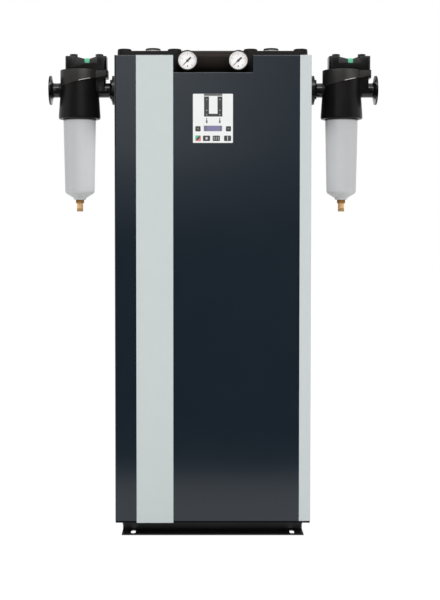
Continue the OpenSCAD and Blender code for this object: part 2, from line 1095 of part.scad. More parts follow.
// Foil on the right-hand front edge, folded round the corner
module edge_stripe() {
    low = cover_z + hem_h;
    color("#c9cfd0")
        translate([0, 0, low])
            linear_extrude(cover_top - low)
                intersection() {
                    difference() {
                        round_rect(cab_w + 2 * foil_t, cab_d + 2 * foil_t, fold_r + foil_t);
                        round_rect(cab_w, cab_d, fold_r);
                    }
                    translate([cab_w / 2 - edge_w, front_y - 1])
                        square([edge_w + 2, edge_side]);
                }
}

module cover_screws() {
    color("#2b2f33")
        at_cover_screws() {
            translate([0, 0, -2 * sheet])
                cylinder(r = 2.5, h = 2 * sheet + eps);
            difference() {
                union() {
                    cylinder(r = 4.75, h = 1.4);
                    translate([0, 0, 1.4 - eps])
                        cylinder(r1 = 4.75, r2 = 3, h = 1.4);
                }
                translate([0, 0, 1.2])
                    cylinder(r = 1.7, h = 2, $fn = 6);
            }
        }
}

// Controls

module keypad_panel() {
    color("#eceeed")
        difference() {
            translate([0, front_y, panel_z])
                rotate([90, 0, 0])
                    linear_extrude(panel_t)
                        round_rect(panel_w, panel_h, 3);
            translate([-lcd_w / 2, front_y - panel_t - 1, panel_z + lcd_dz - lcd_h / 2])
                cube([lcd_w, panel_t + 2, lcd_h]);
        }
}

module display_window() {
    color("#8480a0")
        translate([-lcd_w / 2, front_y - panel_t + 0.1, panel_z + lcd_dz - lcd_h / 2])
            cube([lcd_w, panel_t + sheet - 0.1, lcd_h]);
}

// Open-fronted box on the inside of the front cover
module controller_box() {
    face = front_y + sheet;
    color("#25282a")
        translate([0, face, panel_z])
            difference() {
                translate([0, box_d, 0])
                    rotate([90, 0, 0])
                        linear_extrude(box_d)
                            round_rect(box_w, box_h, 6);
                translate([0, box_d - box_t, 0])
                    rotate([90, 0, 0])
                        linear_extrude(box_d)
                            round_rect(box_w - 2 * box_t, box_h - 2 * box_t, 4);
                for (s = [-1, 1])
                    translate([s * 20, box_d / 2, -box_h / 2 - 1])
                        cylinder(r = 5, h = box_t + 2);
            }
}

module circuit_board() {
    face = front_y + sheet;
    color("#2c6b48")
        translate([0, face, panel_z]) {
            translate([-box_w / 2 + box_t, board_y, -box_h / 2 + box_t])
                difference() {
                    cube([box_w - 2 * box_t, board_t, box_h - 2 * box_t]);
                    for (sx = [0, 1], sz = [0, 1])
                        translate([-1 + sx * (box_w - 2 * box_t - 5), -1, -1 + sz * (box_h - 2 * box_t - 5)])
                            cube([7, board_t + 2, 7]);
                }
            translate([-lcd_w / 2 - 2, 0, lcd_dz - lcd_h / 2 - 2])
                cube([lcd_w + 4, board_y + eps, lcd_h + 4]);
            for (x = [-34, -8, 20])
                translate([x, board_y + board_t - eps, 8])
                    cube([18, 14, 26]);
        }
}

// Gauges

module at_gauge(s) {
    translate([s * gauge_x, gauge_back, gauge_z])
        rotate([90, 0, 0])
            children();
}

module gauge_case() {
    reach = gauge_back + tower_half;
    difference() {
        union() {
            cylinder(r = gauge_r - bezel_step, h = gauge_depth - bezel_h);
            translate([0, 0, gauge_depth - bezel_h - eps])
                cylinder(r = gauge_r, h = bezel_h + eps);
            translate([0, 0, reach - eps - stem_in])
                cylinder(r = stem_r, h = stem_in - reach + 2 * eps);
            translate([0, 0, reach + 4])
                cylinder(r = 9.2, h = -reach - 8, $fn = 6);
        }
        translate([0, 0, dial_z])
            cylinder(r = well_r, h = gauge_depth - dial_z - gauge_lip);
        translate([0, 0, dial_z])
            cylinder(r = dial_r, h = gauge_depth);
        translate([0, 0, dial_z - 8])
            cylinder(r = spindle_r + run, h = 9);
        translate([0, 0, reach - stem_in - 1])
            cylinder(r = 2.5, h = 12);
    }
}

module gauge_dial() {
    translate([0, 0, dial_z])
        difference() {
            cylinder(r = well_r - 0.1, h = dial_t);
            translate([0, 0, -1])
                cylinder(r = spindle_r + 0.6, h = dial_t + 2);
        }
}

// Pointer at rest on zero, to the lower left
module gauge_pointer() {
    translate([0, 0, dial_z - 7]) {
        cylinder(r = spindle_r, h = 7 + dial_t + 2.6);
        translate([0, 0, 7 + dial_t + 0.8])
            cylinder(r = 3, h = 1.8);
    }
    translate([0, 0, dial_z + dial_t + 1.2])
        rotate([0, 0, 225])
            linear_extrude(0.8)
                polygon([
                    [0, -pointer_half], [pointer_l, -0.25], [pointer_l, 0.25], [0, pointer_half],
                    [-pointer_tail, tail_half], [-pointer_tail, -tail_half]
                ]);
}

module gauge_lens() {
    translate([0, 0, gauge_depth - gauge_lip - lens_t])
        cylinder(r = well_r - 0.1, h = lens_t);
}

module left_gauge_case() {
    color("#121314")
        at_gauge(-1)
            gauge_case();
}

module left_gauge_dial() {
    color("#f4f4f2")
        at_gauge(-1)
            gauge_dial();
}

module left_gauge_pointer() {
    color("#111111")
        at_gauge(-1)
            gauge_pointer();
}

module left_gauge_lens() {
    color("#dfe8ea", 0.3)
        at_gauge(-1)
            gauge_lens();
}

module right_gauge_case() {
    color("#121314")
        at_gauge(1)
            gauge_case();
}

module right_gauge_dial() {
    color("#f4f4f2")
        at_gauge(1)
            gauge_dial();
}

module right_gauge_pointer() {
    color("#111111")
        at_gauge(1)
            gauge_pointer();
}

module right_gauge_lens() {
    color("#dfe8ea", 0.3)
        at_gauge(1)
            gauge_lens();
}

// Filters

// Place of a filter: 1 is the prefilter on the right, -1 the afterfilter on the left
module at_filter(s) {
    translate([s > 0 ? port_face(s) + face_l : -port_face(s) - face_r, 0, port_z])
        children();
}

// Flange at the end of a stub along X, its face at x = 0, the stub towards +X
module filter_flange() {
    end_r = stub_r - clear;
    drop = flange_r - 1 - end_r;
    hollow = [
        for (a = [0 : 15 : 90])
            [end_r + drop * (1 - sin(a)), flange_t + cone_l * (1 - cos(a))]
    ];
    rotate([0, 90, 0])
        rotate_extrude()
            polygon(concat(
                [[0, 0], [flange_r, 0], [flange_r, flange_t]], hollow, [[0, flange_t + cone_l]]
            ));
}

// Screw holes and spot faces of a flange
module flange_cuts(hole_r) {
    at_flange_screws() {
        x_rod(hole_r, -1, flange_t + cone_l + 1);
        x_rod(screw_head_r + 0.5, flange_t, flange_t + cone_l + 6);
    }
}

// Half section of a head's round body, wider towards its rounded lower edge
module head_outline() {
    mid = [flare_r - flare_round, flare_round - head_down];
    low = [for (a = [0 : 15 : 90]) mid + flare_round * [sin(a), -cos(a)]];
    polygon(concat(
        [[0, -head_down]], low,
        [[flare_r, -head_down + 10], [waist_r, waist_z], [waist_r, head_up - 2]],
        [[waist_r - 2, head_up], [0, head_up]]
    ));
}

// Head of the filter on side s; the flange away from the dryer takes the air line
module filter_head(s) {
    neck_in = neck_h + 0.5;
    difference() {
        union() {
            rotate_extrude()
                head_outline();
            intersection() {
                translate([0, 0, -20])
                    cylinder(r = head_r, h = head_up + 20);
                translate([0, 0, band_rise])
                    rotate([0, -band_slope, 0])
                        translate([-120, -80, 0])
                            cube([240, 160, 100]);
            }
            translate([0, 0, lug_z])
                linear_extrude(head_up - lug_z)
                    translate([lug_x / 2, 0])
                        round_rect(lug_x, 2 * lug_half, 6);
            translate([0, 0, -4])
                linear_extrude(lug_z + 4 + eps)
                    translate([step_x / 2, 0])
                        round_rect(step_x, 2 * lug_half - 8, 5);
            x_rod(stub_r, -face_l + flange_t, face_r - flange_t);
            translate([-face_l, 0, 0])
                filter_flange();
            translate([face_r, 0, 0])
                mirror([1, 0, 0])
                    filter_flange();
        }
        translate([-face_l, 0, 0])
            flange_cuts(s > 0 ? flange_hole_r : line_hole_r);
        translate([face_r, 0, 0])
            mirror([1, 0, 0])
                flange_cuts(s > 0 ? line_hole_r : flange_hole_r);
        x_rod(port_r, -face_l - 1, 0);
        x_rod(port_r, 34, face_r + 1);
        translate([0, 0, -head_down - 1])
            cylinder(r = neck_r, h = neck_in + 1);
        translate([0, 0, -head_down])
            cylinder(r = neck_r - 4, h = neck_in + 14);
        translate([28, 0, -head_down + neck_in])
            cylinder(r = 8, h = head_down - neck_in);
        translate([34, 0, 0])
            sphere(r = port_r);
        translate([0, 0, -head_down])
            cylinder(r = 14, h = head_down);
        for (s = [-1, 1])
            translate([block_mid + s * block_bolt, 0, head_up - 16])
                cylinder(r = 6, h = 20);
    }
}

module prefilter_head() {
    color("#17191b")
        at_filter(1)
            filter_head(1);
}

module afterfilter_head() {
    color("#17191b")
        at_filter(-1)
            filter_head(-1);
}

// Slope of the bowl's cone where it leaves the rounded corner
function cone_angle() =
    let (dx = bowl_low_r - bowl_round - nose_r, dz = nose_z - bowl_end)
    atan2(dz, dx) - asin(bowl_round / norm([dx, dz]));

// Half section of the bowl's outside, its lower corner rounded in short steps
module bowl_outline() {
    steps = 8;
    slope = cone_angle();
    mid = [bowl_low_r - bowl_round, -bowl_end];
    corner = [
        for (i = [0 : steps])
            let (a = i * (90 - slope) / steps)
            mid + bowl_round * [cos(a), -sin(a)]
    ];
    polygon(concat(
        [[0, neck_h - head_down], [neck_r, neck_h - head_down], [neck_r, -head_down], [bowl_r, -head_down]],
        corner,
        [[nose_r, -nose_z], [tail_r, -tail_z], [0, -tail_z]]
    ));
}

module filter_bowl() {
    floor_z = bowl_end - 2;
    difference() {
        rotate_extrude()
            bowl_outline();
        rotate_extrude()
            polygon([
                [0, -floor_z], [bowl_low_r - bowl_t - 10, -floor_z], [bowl_low_r - bowl_t, -floor_z + 10],
                [neck_r - bowl_t, -head_down], [neck_r - bowl_t, -head_down + neck_h + 1],
                [0, -head_down + neck_h + 1]
            ]);
        translate([0, 0, -tail_z - 1])
            cylinder(r = drain_bore + 2, h = 40);
        translate([0, 0, -head_down + 8])
            rotate_extrude()
                translate([neck_r - groove_d, 0])
                    square([groove_d + 1, groove_w]);
    }
}

module prefilter_bowl() {
    color("#c3c8c9")
        at_filter(1)
            filter_bowl();
}

module afterfilter_bowl() {
    color("#c3c8c9")
        at_filter(-1)
            filter_bowl();
}

// Pleated cartridge, plain tube with end caps and a neck into the head
module filter_element() {
    difference() {
        union() {
            translate([0, 0, -element_top - element_l])
                cylinder(r = element_r, h = element_l);
            translate([0, 0, -element_top - eps])
                cylinder(r = 14 - clear, h = 34);
        }
        translate([0, 0, -element_top - element_l + 6])
            cylinder(r = 10, h = element_l + 40);
    }
}

module prefilter_element() {
    color("#d6d9d4")
        at_filter(1)
            filter_element();
}

module afterfilter_element() {
    color("#d6d9d4")
        at_filter(-1)
            filter_element();
}

module filter_indicator() {
    top = head_up + block_h;
    low_flag = recess_z - 0.4;
    slope = top - recess_z;
    difference() {
        translate([block_mid, 0, head_up])
            linear_extrude(block_h)
                round_rect(block_x1 - block_x0, 2 * block_half, 8);
        for (s = [-1, 1])
            rotate([90, 0, 90])
                translate([0, 0, block_mid - recess_half])
                    linear_extrude(2 * recess_half)
                        polygon([
                            [s * (block_half + 1), recess_z - 1], [s * (block_half - slope), top],
                            [s * (block_half - slope), top + 1], [s * (block_half + 1), top + 1]
                        ]);
        rotate([90, 0, 0])
            translate([flag_x, top, -block_half - 1])
                linear_extrude(2 * block_half + 2)
                    polygon([
                        [-dip_half - dip_left, 0], [-dip_half, -flag_lift], [dip_half, -flag_lift],
                        [dip_half + dip_right, 0], [dip_half + dip_right, 1], [-dip_half - dip_left, 1]
                    ]);
        translate([flag_x - flag_w / 2 - slide, -block_half - 1, low_flag])
            cube([flag_w + 2 * slide, block_half + 9, block_h]);
        translate([flag_x, 0, low_flag - 14])
            cylinder(r = flag_stem_r + run, h = 16);
        for (s = [-1, 1])
            translate([block_mid + s * block_bolt, 0, head_up - 1])
                cylinder(r = 6.4, h = block_h + 2);
    }
}

module prefilter_indicator() {
    color("#1b1d1f")
        at_filter(1)
            filter_indicator();
}

module afterfilter_indicator() {
    color("#1b1d1f")
        at_filter(-1)
            filter_indicator();
}

module filter_flag() {
    translate([flag_x, 0, recess_z]) {
        translate([-flag_w / 2, -15, 0])
            cube([flag_w, 22, flag_h]);
        translate([0, 0, -13])
            cylinder(r = flag_stem_r, h = 13 + eps);
    }
}

module prefilter_flag() {
    color("#5fd0a0")
        at_filter(1)
            filter_flag();
}

module afterfilter_flag() {
    color("#5fd0a0")
        at_filter(-1)
            filter_flag();
}

module filter_drain() {
    translate([0, 0, -tail_z - hex_h])
        difference() {
            union() {
                cylinder(r = hex_r, h = hex_h, $fn = 6);
                translate([0, 0, -barrel_h])
                    cylinder(r = barrel_r, h = barrel_h + eps);
                translate([0, 0, hex_h - eps])
                    cylinder(r = drain_bore + 2, h = 12);
            }
            translate([0, 0, -barrel_h - 1])
                cylinder(r = drain_bore + run, h = 14);
            translate([0, 0, -barrel_h])
                cylinder(r = 1.5, h = 40);
        }
}

module prefilter_drain() {
    color("#b47a3c")
        at_filter(1)
            filter_drain();
}

module afterfilter_drain() {
    color("#b47a3c")
        at_filter(-1)
            filter_drain();
}

module filter_drain_knob() {
    top = -tail_z - hex_h - barrel_h - 0.4;
    difference() {
        union() {
            translate([0, 0, top - knob_h])
                cylinder(r = knob_r, h = knob_h);
            translate([0, 0, top - eps])
                cylinder(r = drain_bore, h = 11);
        }
        for (a = [0 : 20 : 340])
            rotate([0, 0, a])
                translate([knob_r + 0.3, 0, top - knob_h - 1])
                    cylinder(r = 0.8, h = knob_h + 2);
        translate([0, 0, top - knob_h - 1])
            cylinder(r = 1.2, h = knob_h + 3);
    }
}

module prefilter_drain_knob() {
    color("#a86f35")
        at_filter(1)
            filter_drain_knob();
}

module afterfilter_drain_knob() {
    color("#a86f35")
        at_filter(-1)
            filter_drain_knob();
}

module filter_seals() {
    color("#101010")
        for (s = [-1, 1]) {
            at_filter(s)
                translate([0, 0, -head_down + 8 + groove_w / 2])
                    ring(neck_r - ring_r);
            translate([s * (port_face(s) - ring_r), 0, port_z])
                rotate([0, 90, 0])
                    ring(flange_ring_r);
        }
}

// Bolts of the indicator blocks and screws of the flanges on the dryer
module filter_screws() {
    color("#2a2d30")
        for (s = [-1, 1]) {
            at_filter(s)
                for (k = [-1, 1])
                    translate([block_mid + k * block_bolt, 0, head_up + block_h])
                        hex_bolt(6, 10.4, 7.5, block_h + 15);
            translate([s * (port_face(s) + flange_t), 0, port_z])
                at_flange_screws()
                    rotate([0, s * 90, 0])
                        socket_screw(flange_screw_r, screw_head_r, screw_head_h, flange_t + 7);
        }
}

front_foot();
rear_foot();
foot_bolts();
bottom_manifold();
left_tower();
right_tower();
left_bed();
right_bed();
bed_screens();
bed_springs();
tower_seals();
left_cap();
right_cap();
tower_bolts();
plug_collars();
plug_caps();
top_manifold();
outlet_shuttle();
inlet_riser();
inlet_port();
outlet_port();
inlet_shuttle();
valve_bodies();
valve_coils();
left_plunger();
right_plunger();
silencers();
front_cover();
rear_cover();
accent_stripe();
edge_stripe();
cover_screws();
keypad_panel();
display_window();
controller_box();
circuit_board();
left_gauge_case();
left_gauge_dial();
left_gauge_pointer();
left_gauge_lens();
right_gauge_case();
right_gauge_dial();
right_gauge_pointer();
right_gauge_lens();
prefilter_head();
prefilter_bowl();
prefilter_indicator();
prefilter_flag();
prefilter_element();
prefilter_drain();
prefilter_drain_knob();
afterfilter_head();
afterfilter_bowl();
afterfilter_indicator();
afterfilter_flag();
afterfilter_element();
afterfilter_drain();
afterfilter_drain_knob();
filter_seals();
filter_screws();
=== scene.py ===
"""Dress a compact twin-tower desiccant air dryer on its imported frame."""

import logging
import math
from dataclasses import dataclass, replace
from enum import Enum
from typing import Any, Iterable, Optional, Sequence, Union

import bmesh
import bpy
from mathutils import Matrix, Vector


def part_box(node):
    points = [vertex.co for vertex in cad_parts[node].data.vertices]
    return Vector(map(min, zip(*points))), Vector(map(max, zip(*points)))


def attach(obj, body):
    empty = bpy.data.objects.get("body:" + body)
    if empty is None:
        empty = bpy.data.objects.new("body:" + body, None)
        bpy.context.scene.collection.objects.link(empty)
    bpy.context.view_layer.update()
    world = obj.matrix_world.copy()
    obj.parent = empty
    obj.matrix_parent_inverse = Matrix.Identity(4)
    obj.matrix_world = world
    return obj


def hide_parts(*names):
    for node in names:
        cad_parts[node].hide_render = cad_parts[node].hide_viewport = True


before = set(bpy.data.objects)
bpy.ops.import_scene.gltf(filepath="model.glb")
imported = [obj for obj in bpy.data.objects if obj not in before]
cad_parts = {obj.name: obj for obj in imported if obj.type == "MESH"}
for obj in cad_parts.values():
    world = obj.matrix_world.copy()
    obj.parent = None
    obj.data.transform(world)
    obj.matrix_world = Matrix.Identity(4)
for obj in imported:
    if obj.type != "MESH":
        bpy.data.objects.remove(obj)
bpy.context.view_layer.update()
LOG = logging.getLogger("dryer")
MM = 0.001
BODY = "dryer"

# How much slow and fine relief show in the tone, and how strong the bump is
CLOUD_SHARE = 1.4
FINE_SHARE = 0.6
BUMP_STRENGTH = 0.25

# Vertices nearer than this are one, and faces flatter than this are merged
WELD = 2e-6
FLAT_ANGLE = math.radians(0.5)

Colour = tuple[float, float, float]
Number = Union[float, "Sock"]
Span = tuple[float, float]

WHITE: Colour = (1.0, 1.0, 1.0)
BLACK: Colour = (0.0, 0.0, 0.0)


def srgb(red: int, green: int, blue: int) -> Colour:
    """Turn a display colour into the linear colour that shaders take.

    Args:
        red: Red from 0 to 255.
        green: Green from 0 to 255.
        blue: Blue from 0 to 255.

    Returns:
        The linear colour.
    """
    return tuple(
        c / 12.92 if c <= 0.04045 else ((c + 0.055) / 1.055) ** 2.4
        for c in (red / 255, green / 255, blue / 255)
    )


class Sock:
    """A shader output that takes part in Python arithmetic."""

    def __init__(self, graph: "Graph", socket: bpy.types.NodeSocket) -> None:
        """Keep the graph and the socket."""
        self.graph = graph
        self.socket = socket

    def __add__(self, other: Number) -> "Sock":
        """Return self + other."""
        return self.graph.math("ADD", self, other)

    def __radd__(self, other: Number) -> "Sock":
        """Return other + self."""
        return self.graph.math("ADD", other, self)

    def __sub__(self, other: Number) -> "Sock":
        """Return self - other."""
        return self.graph.math("SUBTRACT", self, other)

    def __rsub__(self, other: Number) -> "Sock":
        """Return other - self."""
        return self.graph.math("SUBTRACT", other, self)

    def __mul__(self, other: Number) -> "Sock":
        """Return self * other."""
        return self.graph.math("MULTIPLY", self, other)

    def __truediv__(self, other: Number) -> "Sock":
        """Return self / other."""
        return self.graph.math("DIVIDE", self, other)

    def __lt__(self, other: Number) -> "Sock":
        """Return 1 where self is below other."""
        return self.graph.math("LESS_THAN", self, other)

    def __gt__(self, other: Number) -> "Sock":
        """Return 1 where self is above other."""
        return self.graph.math("GREATER_THAN", self, other)

    def __or__(self, other: Number) -> "Sock":
        """Return the larger of two masks."""
        return self.graph.math("MAXIMUM", self, other)

    def fold(self) -> "Sock":
        """Return the part after the decimal point."""
        return self.graph.math("FRACT", self)

    def held(self) -> "Sock":
        """Return the value held between 0 and 1."""
        return self.graph.tap("Clamp", None, {"Value": self})


class Graph:
    """The node tree of one material or of the world."""

    def __init__(self, tree: bpy.types.NodeTree) -> None:
        """Start from an empty tree."""
        tree.nodes.clear()
        self.tree = tree

    def add(
        self,
        kind: str,
        settings: Optional[dict[str, Any]] = None,
        sockets: Optional[dict[Union[str, int], Any]] = None,
    ) -> bpy.types.Node:
        """Add one node.

        Args:
            kind: Node type without its ShaderNode prefix.
            settings: Properties of the node, set first; stops fills a ramp.
            sockets: Values or links by socket name or number.

        Returns:
            The new node.
        """
        node = self.tree.nodes.new("ShaderNode" + kind)
        for key, value in (settings or {}).items():
            if key == "stops":
                self._fill_ramp(node.color_ramp, value)
            else:
                setattr(node, key, value)
        for key, value in (sockets or {}).items():
            self._feed(node.inputs[key], value)
        return node

    def tap(
        self,
        kind: str,
        settings: Optional[dict[str, Any]] = None,
        sockets: Optional[dict[Union[str, int], Any]] = None,
        output: Union[str, int] = 0,
    ) -> Sock:
        """Add one node, as add does, and wrap one of its outputs."""
        return Sock(self, self.add(kind, settings, sockets).outputs[output])

    def math(self, operation: str, *values: Number) -> Sock:
        """Add a Math node for the operation on the values."""
        return self.tap("Math", {"operation": operation}, dict(enumerate(values)))

    def mix(self, factor: Number, low: Any, high: Any) -> Sock:
        """Mix two colours by a factor."""
        return self.tap(
            "Mix", {"data_type": "RGBA"}, {0: factor, 6: low, 7: high}, 2
        )

    def place(self) -> Sock:
        """Return the Object coordinates, which are metres in the CAD frame."""
        return self.tap("TexCoord", None, None, "Object")

    def along(self, place: Sock) -> tuple[Sock, Sock, Sock]:
        """Split coordinates into X, Y and Z."""
        split = self.add("SeparateXYZ", None, {0: place})
        return tuple(Sock(self, out) for out in split.outputs)

    def noise(self, place: Sock, scale: float, detail: float = 3.0) -> Sock:
        """Add a noise of a number of cells per metre."""
        return self.tap(
            "TexNoise", None, {"Vector": place, "Scale": scale, "Detail": detail}
        )

    def stretch(self, place: Sock, factors: Sequence[float]) -> Sock:
        """Scale coordinates along each axis."""
        return self.tap("Mapping", None, {"Vector": place, "Scale": factors})

    def _fill_ramp(
        self, ramp: bpy.types.ColorRamp, stops: Sequence[tuple[float, Colour]]
    ) -> None:
        """Give a ramp its stops.

        Args:
            ramp: The ramp to fill.
            stops: Places from 0 to 1 with their colours.
        """
        while len(ramp.elements) < len(stops):
            ramp.elements.new(1.0)
        for element, (place, colour) in zip(ramp.elements, stops):
            element.position = place
            element.color = (*colour, 1.0)

    def _feed(self, socket: bpy.types.NodeSocket, value: Any) -> None:
        """Link a socket or set its value.

        Args:
            socket: The input to feed.
            value: A wrapped output, a number, a vector or a colour.
        """
        if isinstance(value, Sock):
            self.tree.links.new(value.socket, socket)
        elif socket.type == "RGBA" and len(value) == 3:
            socket.default_value = (*value, 1.0)
        else:
            socket.default_value = value


class Grain(Enum):
    """How far a fine relief is drawn out along X, Y and Z."""

    EVEN = (1.0, 1.0, 1.0)
    ALONG_X = (0.02, 1.0, 1.0)
    ALONG_Z = (1.0, 1.0, 0.02)


@dataclass(frozen=True)
class Finish:
    """A surface whose tone, gloss and relief vary over the piece."""

    name: str
    colour: Colour
    rough: float
    metal: float = 0.0
    specular: float = 0.5
    coat: float = 0.0
    glow: float = 0.0
    alpha: float = 1.0
    tone: float = 0.10
    tone_scale: float = 24.0
    gloss_spread: float = 0.06
    grain: Grain = Grain.EVEN
    grain_scale: float = 700.0
    grain_depth: float = 0.02

    def material(self) -> bpy.types.Material:
        """Return the finish's material, made on first use."""
        return bpy.data.materials.get(self.label()) or self._build()

    def label(self) -> str:
        """Return a name that none of the frame's own materials has."""
        return "finish_" + self.name

    def _build(self) -> bpy.types.Material:
        """Make the material.

        Returns:
            The new material.
        """
        made = bpy.data.materials.new(self.label())
        made.use_nodes = True
        graph = Graph(made.node_tree)
        place = graph.place()
        cloud = graph.noise(place, self.tone_scale)
        fine = self._fine(graph, place)
        shade = (cloud - 0.5) * CLOUD_SHARE + (fine - 0.5) * FINE_SHARE + 0.5
        rough = self.rough + (cloud - 0.5) * self.gloss_spread * 2
        rough = rough + (fine - 0.5) * self.gloss_spread
        bump = graph.tap("Bump", None, {
            "Strength": BUMP_STRENGTH,
            "Distance": self.grain_depth * MM,
            "Height": fine,
        })
        tint = self._tint(graph, place, shade.held(), fine)
        sockets = {
            "Base Color": tint,
            "Roughness": rough.held(),
            "Metallic": self.metal,
            "Specular IOR Level": self.specular,
            "Coat Weight": self._gloss(graph, place),
            "Alpha": self.alpha,
            "Normal": bump,
        }
        # A glow is painted light: the surface shines although it is no lamp.
        if self.glow > 0:
            sockets |= {"Emission Color": tint, "Emission Strength": self.glow}
        shader = graph.tap("BsdfPrincipled", None, sockets)
        shader = self._surface(graph, place, shader)
        graph.add("OutputMaterial", None, {"Surface": shader})
        return made

    def _gloss(self, graph: Graph, place: Sock) -> Number:
        """Return the weight of the clear coat, here the same all over."""
        return self.coat

    def _surface(self, graph: Graph, place: Sock, shader: Sock) -> Sock:
        """Return the whole surface, here the plain shader."""
        return shader

    def _fine(self, graph: Graph, place: Sock) -> Sock:
        """Return the fine relief, from 0 to 1."""
        drawn = graph.stretch(place, self.grain.value)
        return graph.noise(drawn, self.grain_scale, 2.0)

    def _tint(self, graph: Graph, place: Sock, shade: Sock, fine: Sock) -> Sock:
        """Return the colour over the surface.

        Args:
            graph: The material's graph.
            place: Object coordinates.
            shade: Slow change of tone, from 0 to 1.
            fine: Fine relief, from 0 to 1.

        Returns:
            The colour.
        """
        low = tuple(c * (1 - self.tone) for c in self.colour)
        high = tuple(min(1.0, c * (1 + self.tone)) for c in self.colour)
        return graph.mix(shade, low, high)


@dataclass(frozen=True)
class BeadFinish(Finish):
    """Loose round beads."""

    bead: float = 4.0

    def _fine(self, graph: Graph, place: Sock) -> Sock:
        """Return the height of a packed layer of beads."""
        cells = graph.tap(
            "TexVoronoi", None, {"Vector": place, "Scale": 1 / (self.bead * MM)}
        )
        return (1.0 - cells).held()


@dataclass(frozen=True)
class GridFinish(Finish):
    """A square grid of fine lines, as of picture cells or board tracks."""

    line_colour: Colour = BLACK
    pitch: float = 1.0
    line: float = 0.15

    def _fine(self, graph: Graph, place: Sock) -> Sock:
        """Return 0 on the lines and 1 between them."""
        x, _, z = graph.along(place)
        across = (x / (self.pitch * MM)).fold() < self.line
        down = (z / (self.pitch * MM)).fold() < self.line
        return 1.0 - (across | down)

    def _tint(self, graph: Graph, place: Sock, shade: Sock, fine: Sock) -> Sock:
        """Return the colour with its lines."""
        ground = super()._tint(graph, place, shade, fine)
        return graph.mix(fine, self.line_colour, ground)


@dataclass(frozen=True)
class ShadeBandFinish(Finish):
    """A surface painted matt and dark below a height, or above it: painted shade.

    The change takes the length fade, and a negative fade turns it upwards.
    """

    shade_colour: Colour = BLACK
    level: float = 0.0
    fade: float = 0.01 * MM

    def _surface(self, graph: Graph, place: Sock, shader: Sock) -> Sock:
        """Return the paint with its band of painted shade.

        Args:
            graph: The material's graph.
            place: Object coordinates.
            shader: The paint.

        Returns:
            The whole surface.
        """
        _, _, z = graph.along(place)
        depth = ((self.level - z) / self.fade).held()
        # The matt dark shader is painted shade, mixed in past the level.
        matt = graph.tap("BsdfDiffuse", None, {"Color": self.shade_colour})
        return graph.tap("MixShader", None, {0: depth, 1: shader, 2: matt})


@dataclass(frozen=True)
class BandFinish(Finish):
    """A casting with a lighter band, and painted sheen, edge highlight and shade."""

    band_colour: Colour = BLACK
    # Colours of the painted sheen and of the painted highlight along the band's edge
    sheen_colour: Colour = srgb(74, 72, 70)
    edge_highlight_colour: Colour = srgb(205, 201, 196)
    axis: float = 0.0
    level: float = 0.0
    slope: float = 0.242
    reach: float = 0.0515
    sheen_offset: float = 17.0 * MM
    sheen_half: float = 17.0 * MM
    edge: float = 1.6 * MM
    edge_highlight_gain: float = 3.0
    fade: float = 34.0 * MM
    fade_least: float = 0.45
    neck: float = 53.5 * MM
    neck_coat: float = 0.6

    def _gloss(self, graph: Graph, place: Sock) -> Sock:
        """Return the weight of the coat, which the machined necks alone have.

        Args:
            graph: The material's graph.
            place: Object coordinates.

        Returns:
            The weight.
        """
        x, _, z = graph.along(place)
        beside = graph.math("ABSOLUTE", x - self.axis) > self.neck
        return beside * (z < self.level) * self.neck_coat

    def _tint(self, graph: Graph, place: Sock, shade: Sock, fine: Sock) -> Sock:
        """Return the colour with its lighter band and painted light and shade.

        Args:
            graph: The material's graph.
            place: Object coordinates.
            shade: Slow change of tone, from 0 to 1.
            fine: Fine relief, from 0 to 1.

        Returns:
            The colour.
        """
        x, y, z = graph.along(place)
        rise = z - (x - self.axis) * self.slope - self.level
        inside = x > self.axis - self.reach
        away = graph.math("ABSOLUTE", x - (self.axis + self.sheen_offset))
        # Painted sheen: the band lightens towards a spot right of the axis, on the
        # front half.
        sheen = (1.0 - away / self.sheen_half).held() * (y < 0.0)
        ground = super()._tint(graph, place, shade, fine)
        # The band is lighter than the body: partly its own finish, partly painted
        # sheen.
        band = graph.mix(sheen, self.band_colour, self.sheen_colour)
        # Painted highlight along the band's slanted lower edge, where the sheen is.
        edge = (rise > 0.0) * (rise < self.edge) * sheen
        band = graph.mix((edge * self.edge_highlight_gain).held(), band, self.edge_highlight_colour)
        # Painted shade: the band darkens towards its left end.
        fade = ((x - (self.axis - self.reach)) / self.fade).held()
        fade = fade * (1.0 - self.fade_least) + self.fade_least
        return graph.mix((rise > 0.0) * inside * fade, ground, band)


# The cover's lowest strip is painted matt and dark: a painted shade line along its
# bottom edge.
COVER_PAINT = ShadeBandFinish(
    "cover_paint", (0.0088, 0.0160, 0.0248), 0.20, specular=0.5, tone=0.05,
    tone_scale=9.0, gloss_spread=0.02, grain_scale=420.0, grain_depth=0.03,
    shade_colour=srgb(22, 25, 28),
)
SILVER_FOIL = Finish(
    "silver_foil", srgb(198, 205, 205), 0.5, specular=0.08, tone=0.012,
    gloss_spread=0.04, grain=Grain.ALONG_Z, grain_scale=1400.0, grain_depth=0.01,
)
CAST_BLACK = Finish(
    "cast_black", srgb(19, 19, 20), 0.28, specular=0.5, tone=0.16,
    grain_scale=520.0, grain_depth=0.06,
)
# The heads' castings, with painted sheen, a painted edge highlight and painted shade on
# the band.
HEAD_BLACK = BandFinish(
    "head_black", srgb(20, 18, 18), 0.34, specular=0.14, tone=0.14,
    grain_scale=520.0, grain_depth=0.05, band_colour=srgb(50, 49, 48),
)
INDICATOR_BLACK = Finish(
    "indicator_black", srgb(16, 15, 15), 0.30, specular=0.28, tone=0.12,
    grain_scale=900.0, grain_depth=0.03,
)
BLOCK_BLACK = Finish(
    "block_black", srgb(18, 16, 14), 0.42, specular=0.1, tone=0.14,
    grain_scale=380.0, grain_depth=0.05,
)
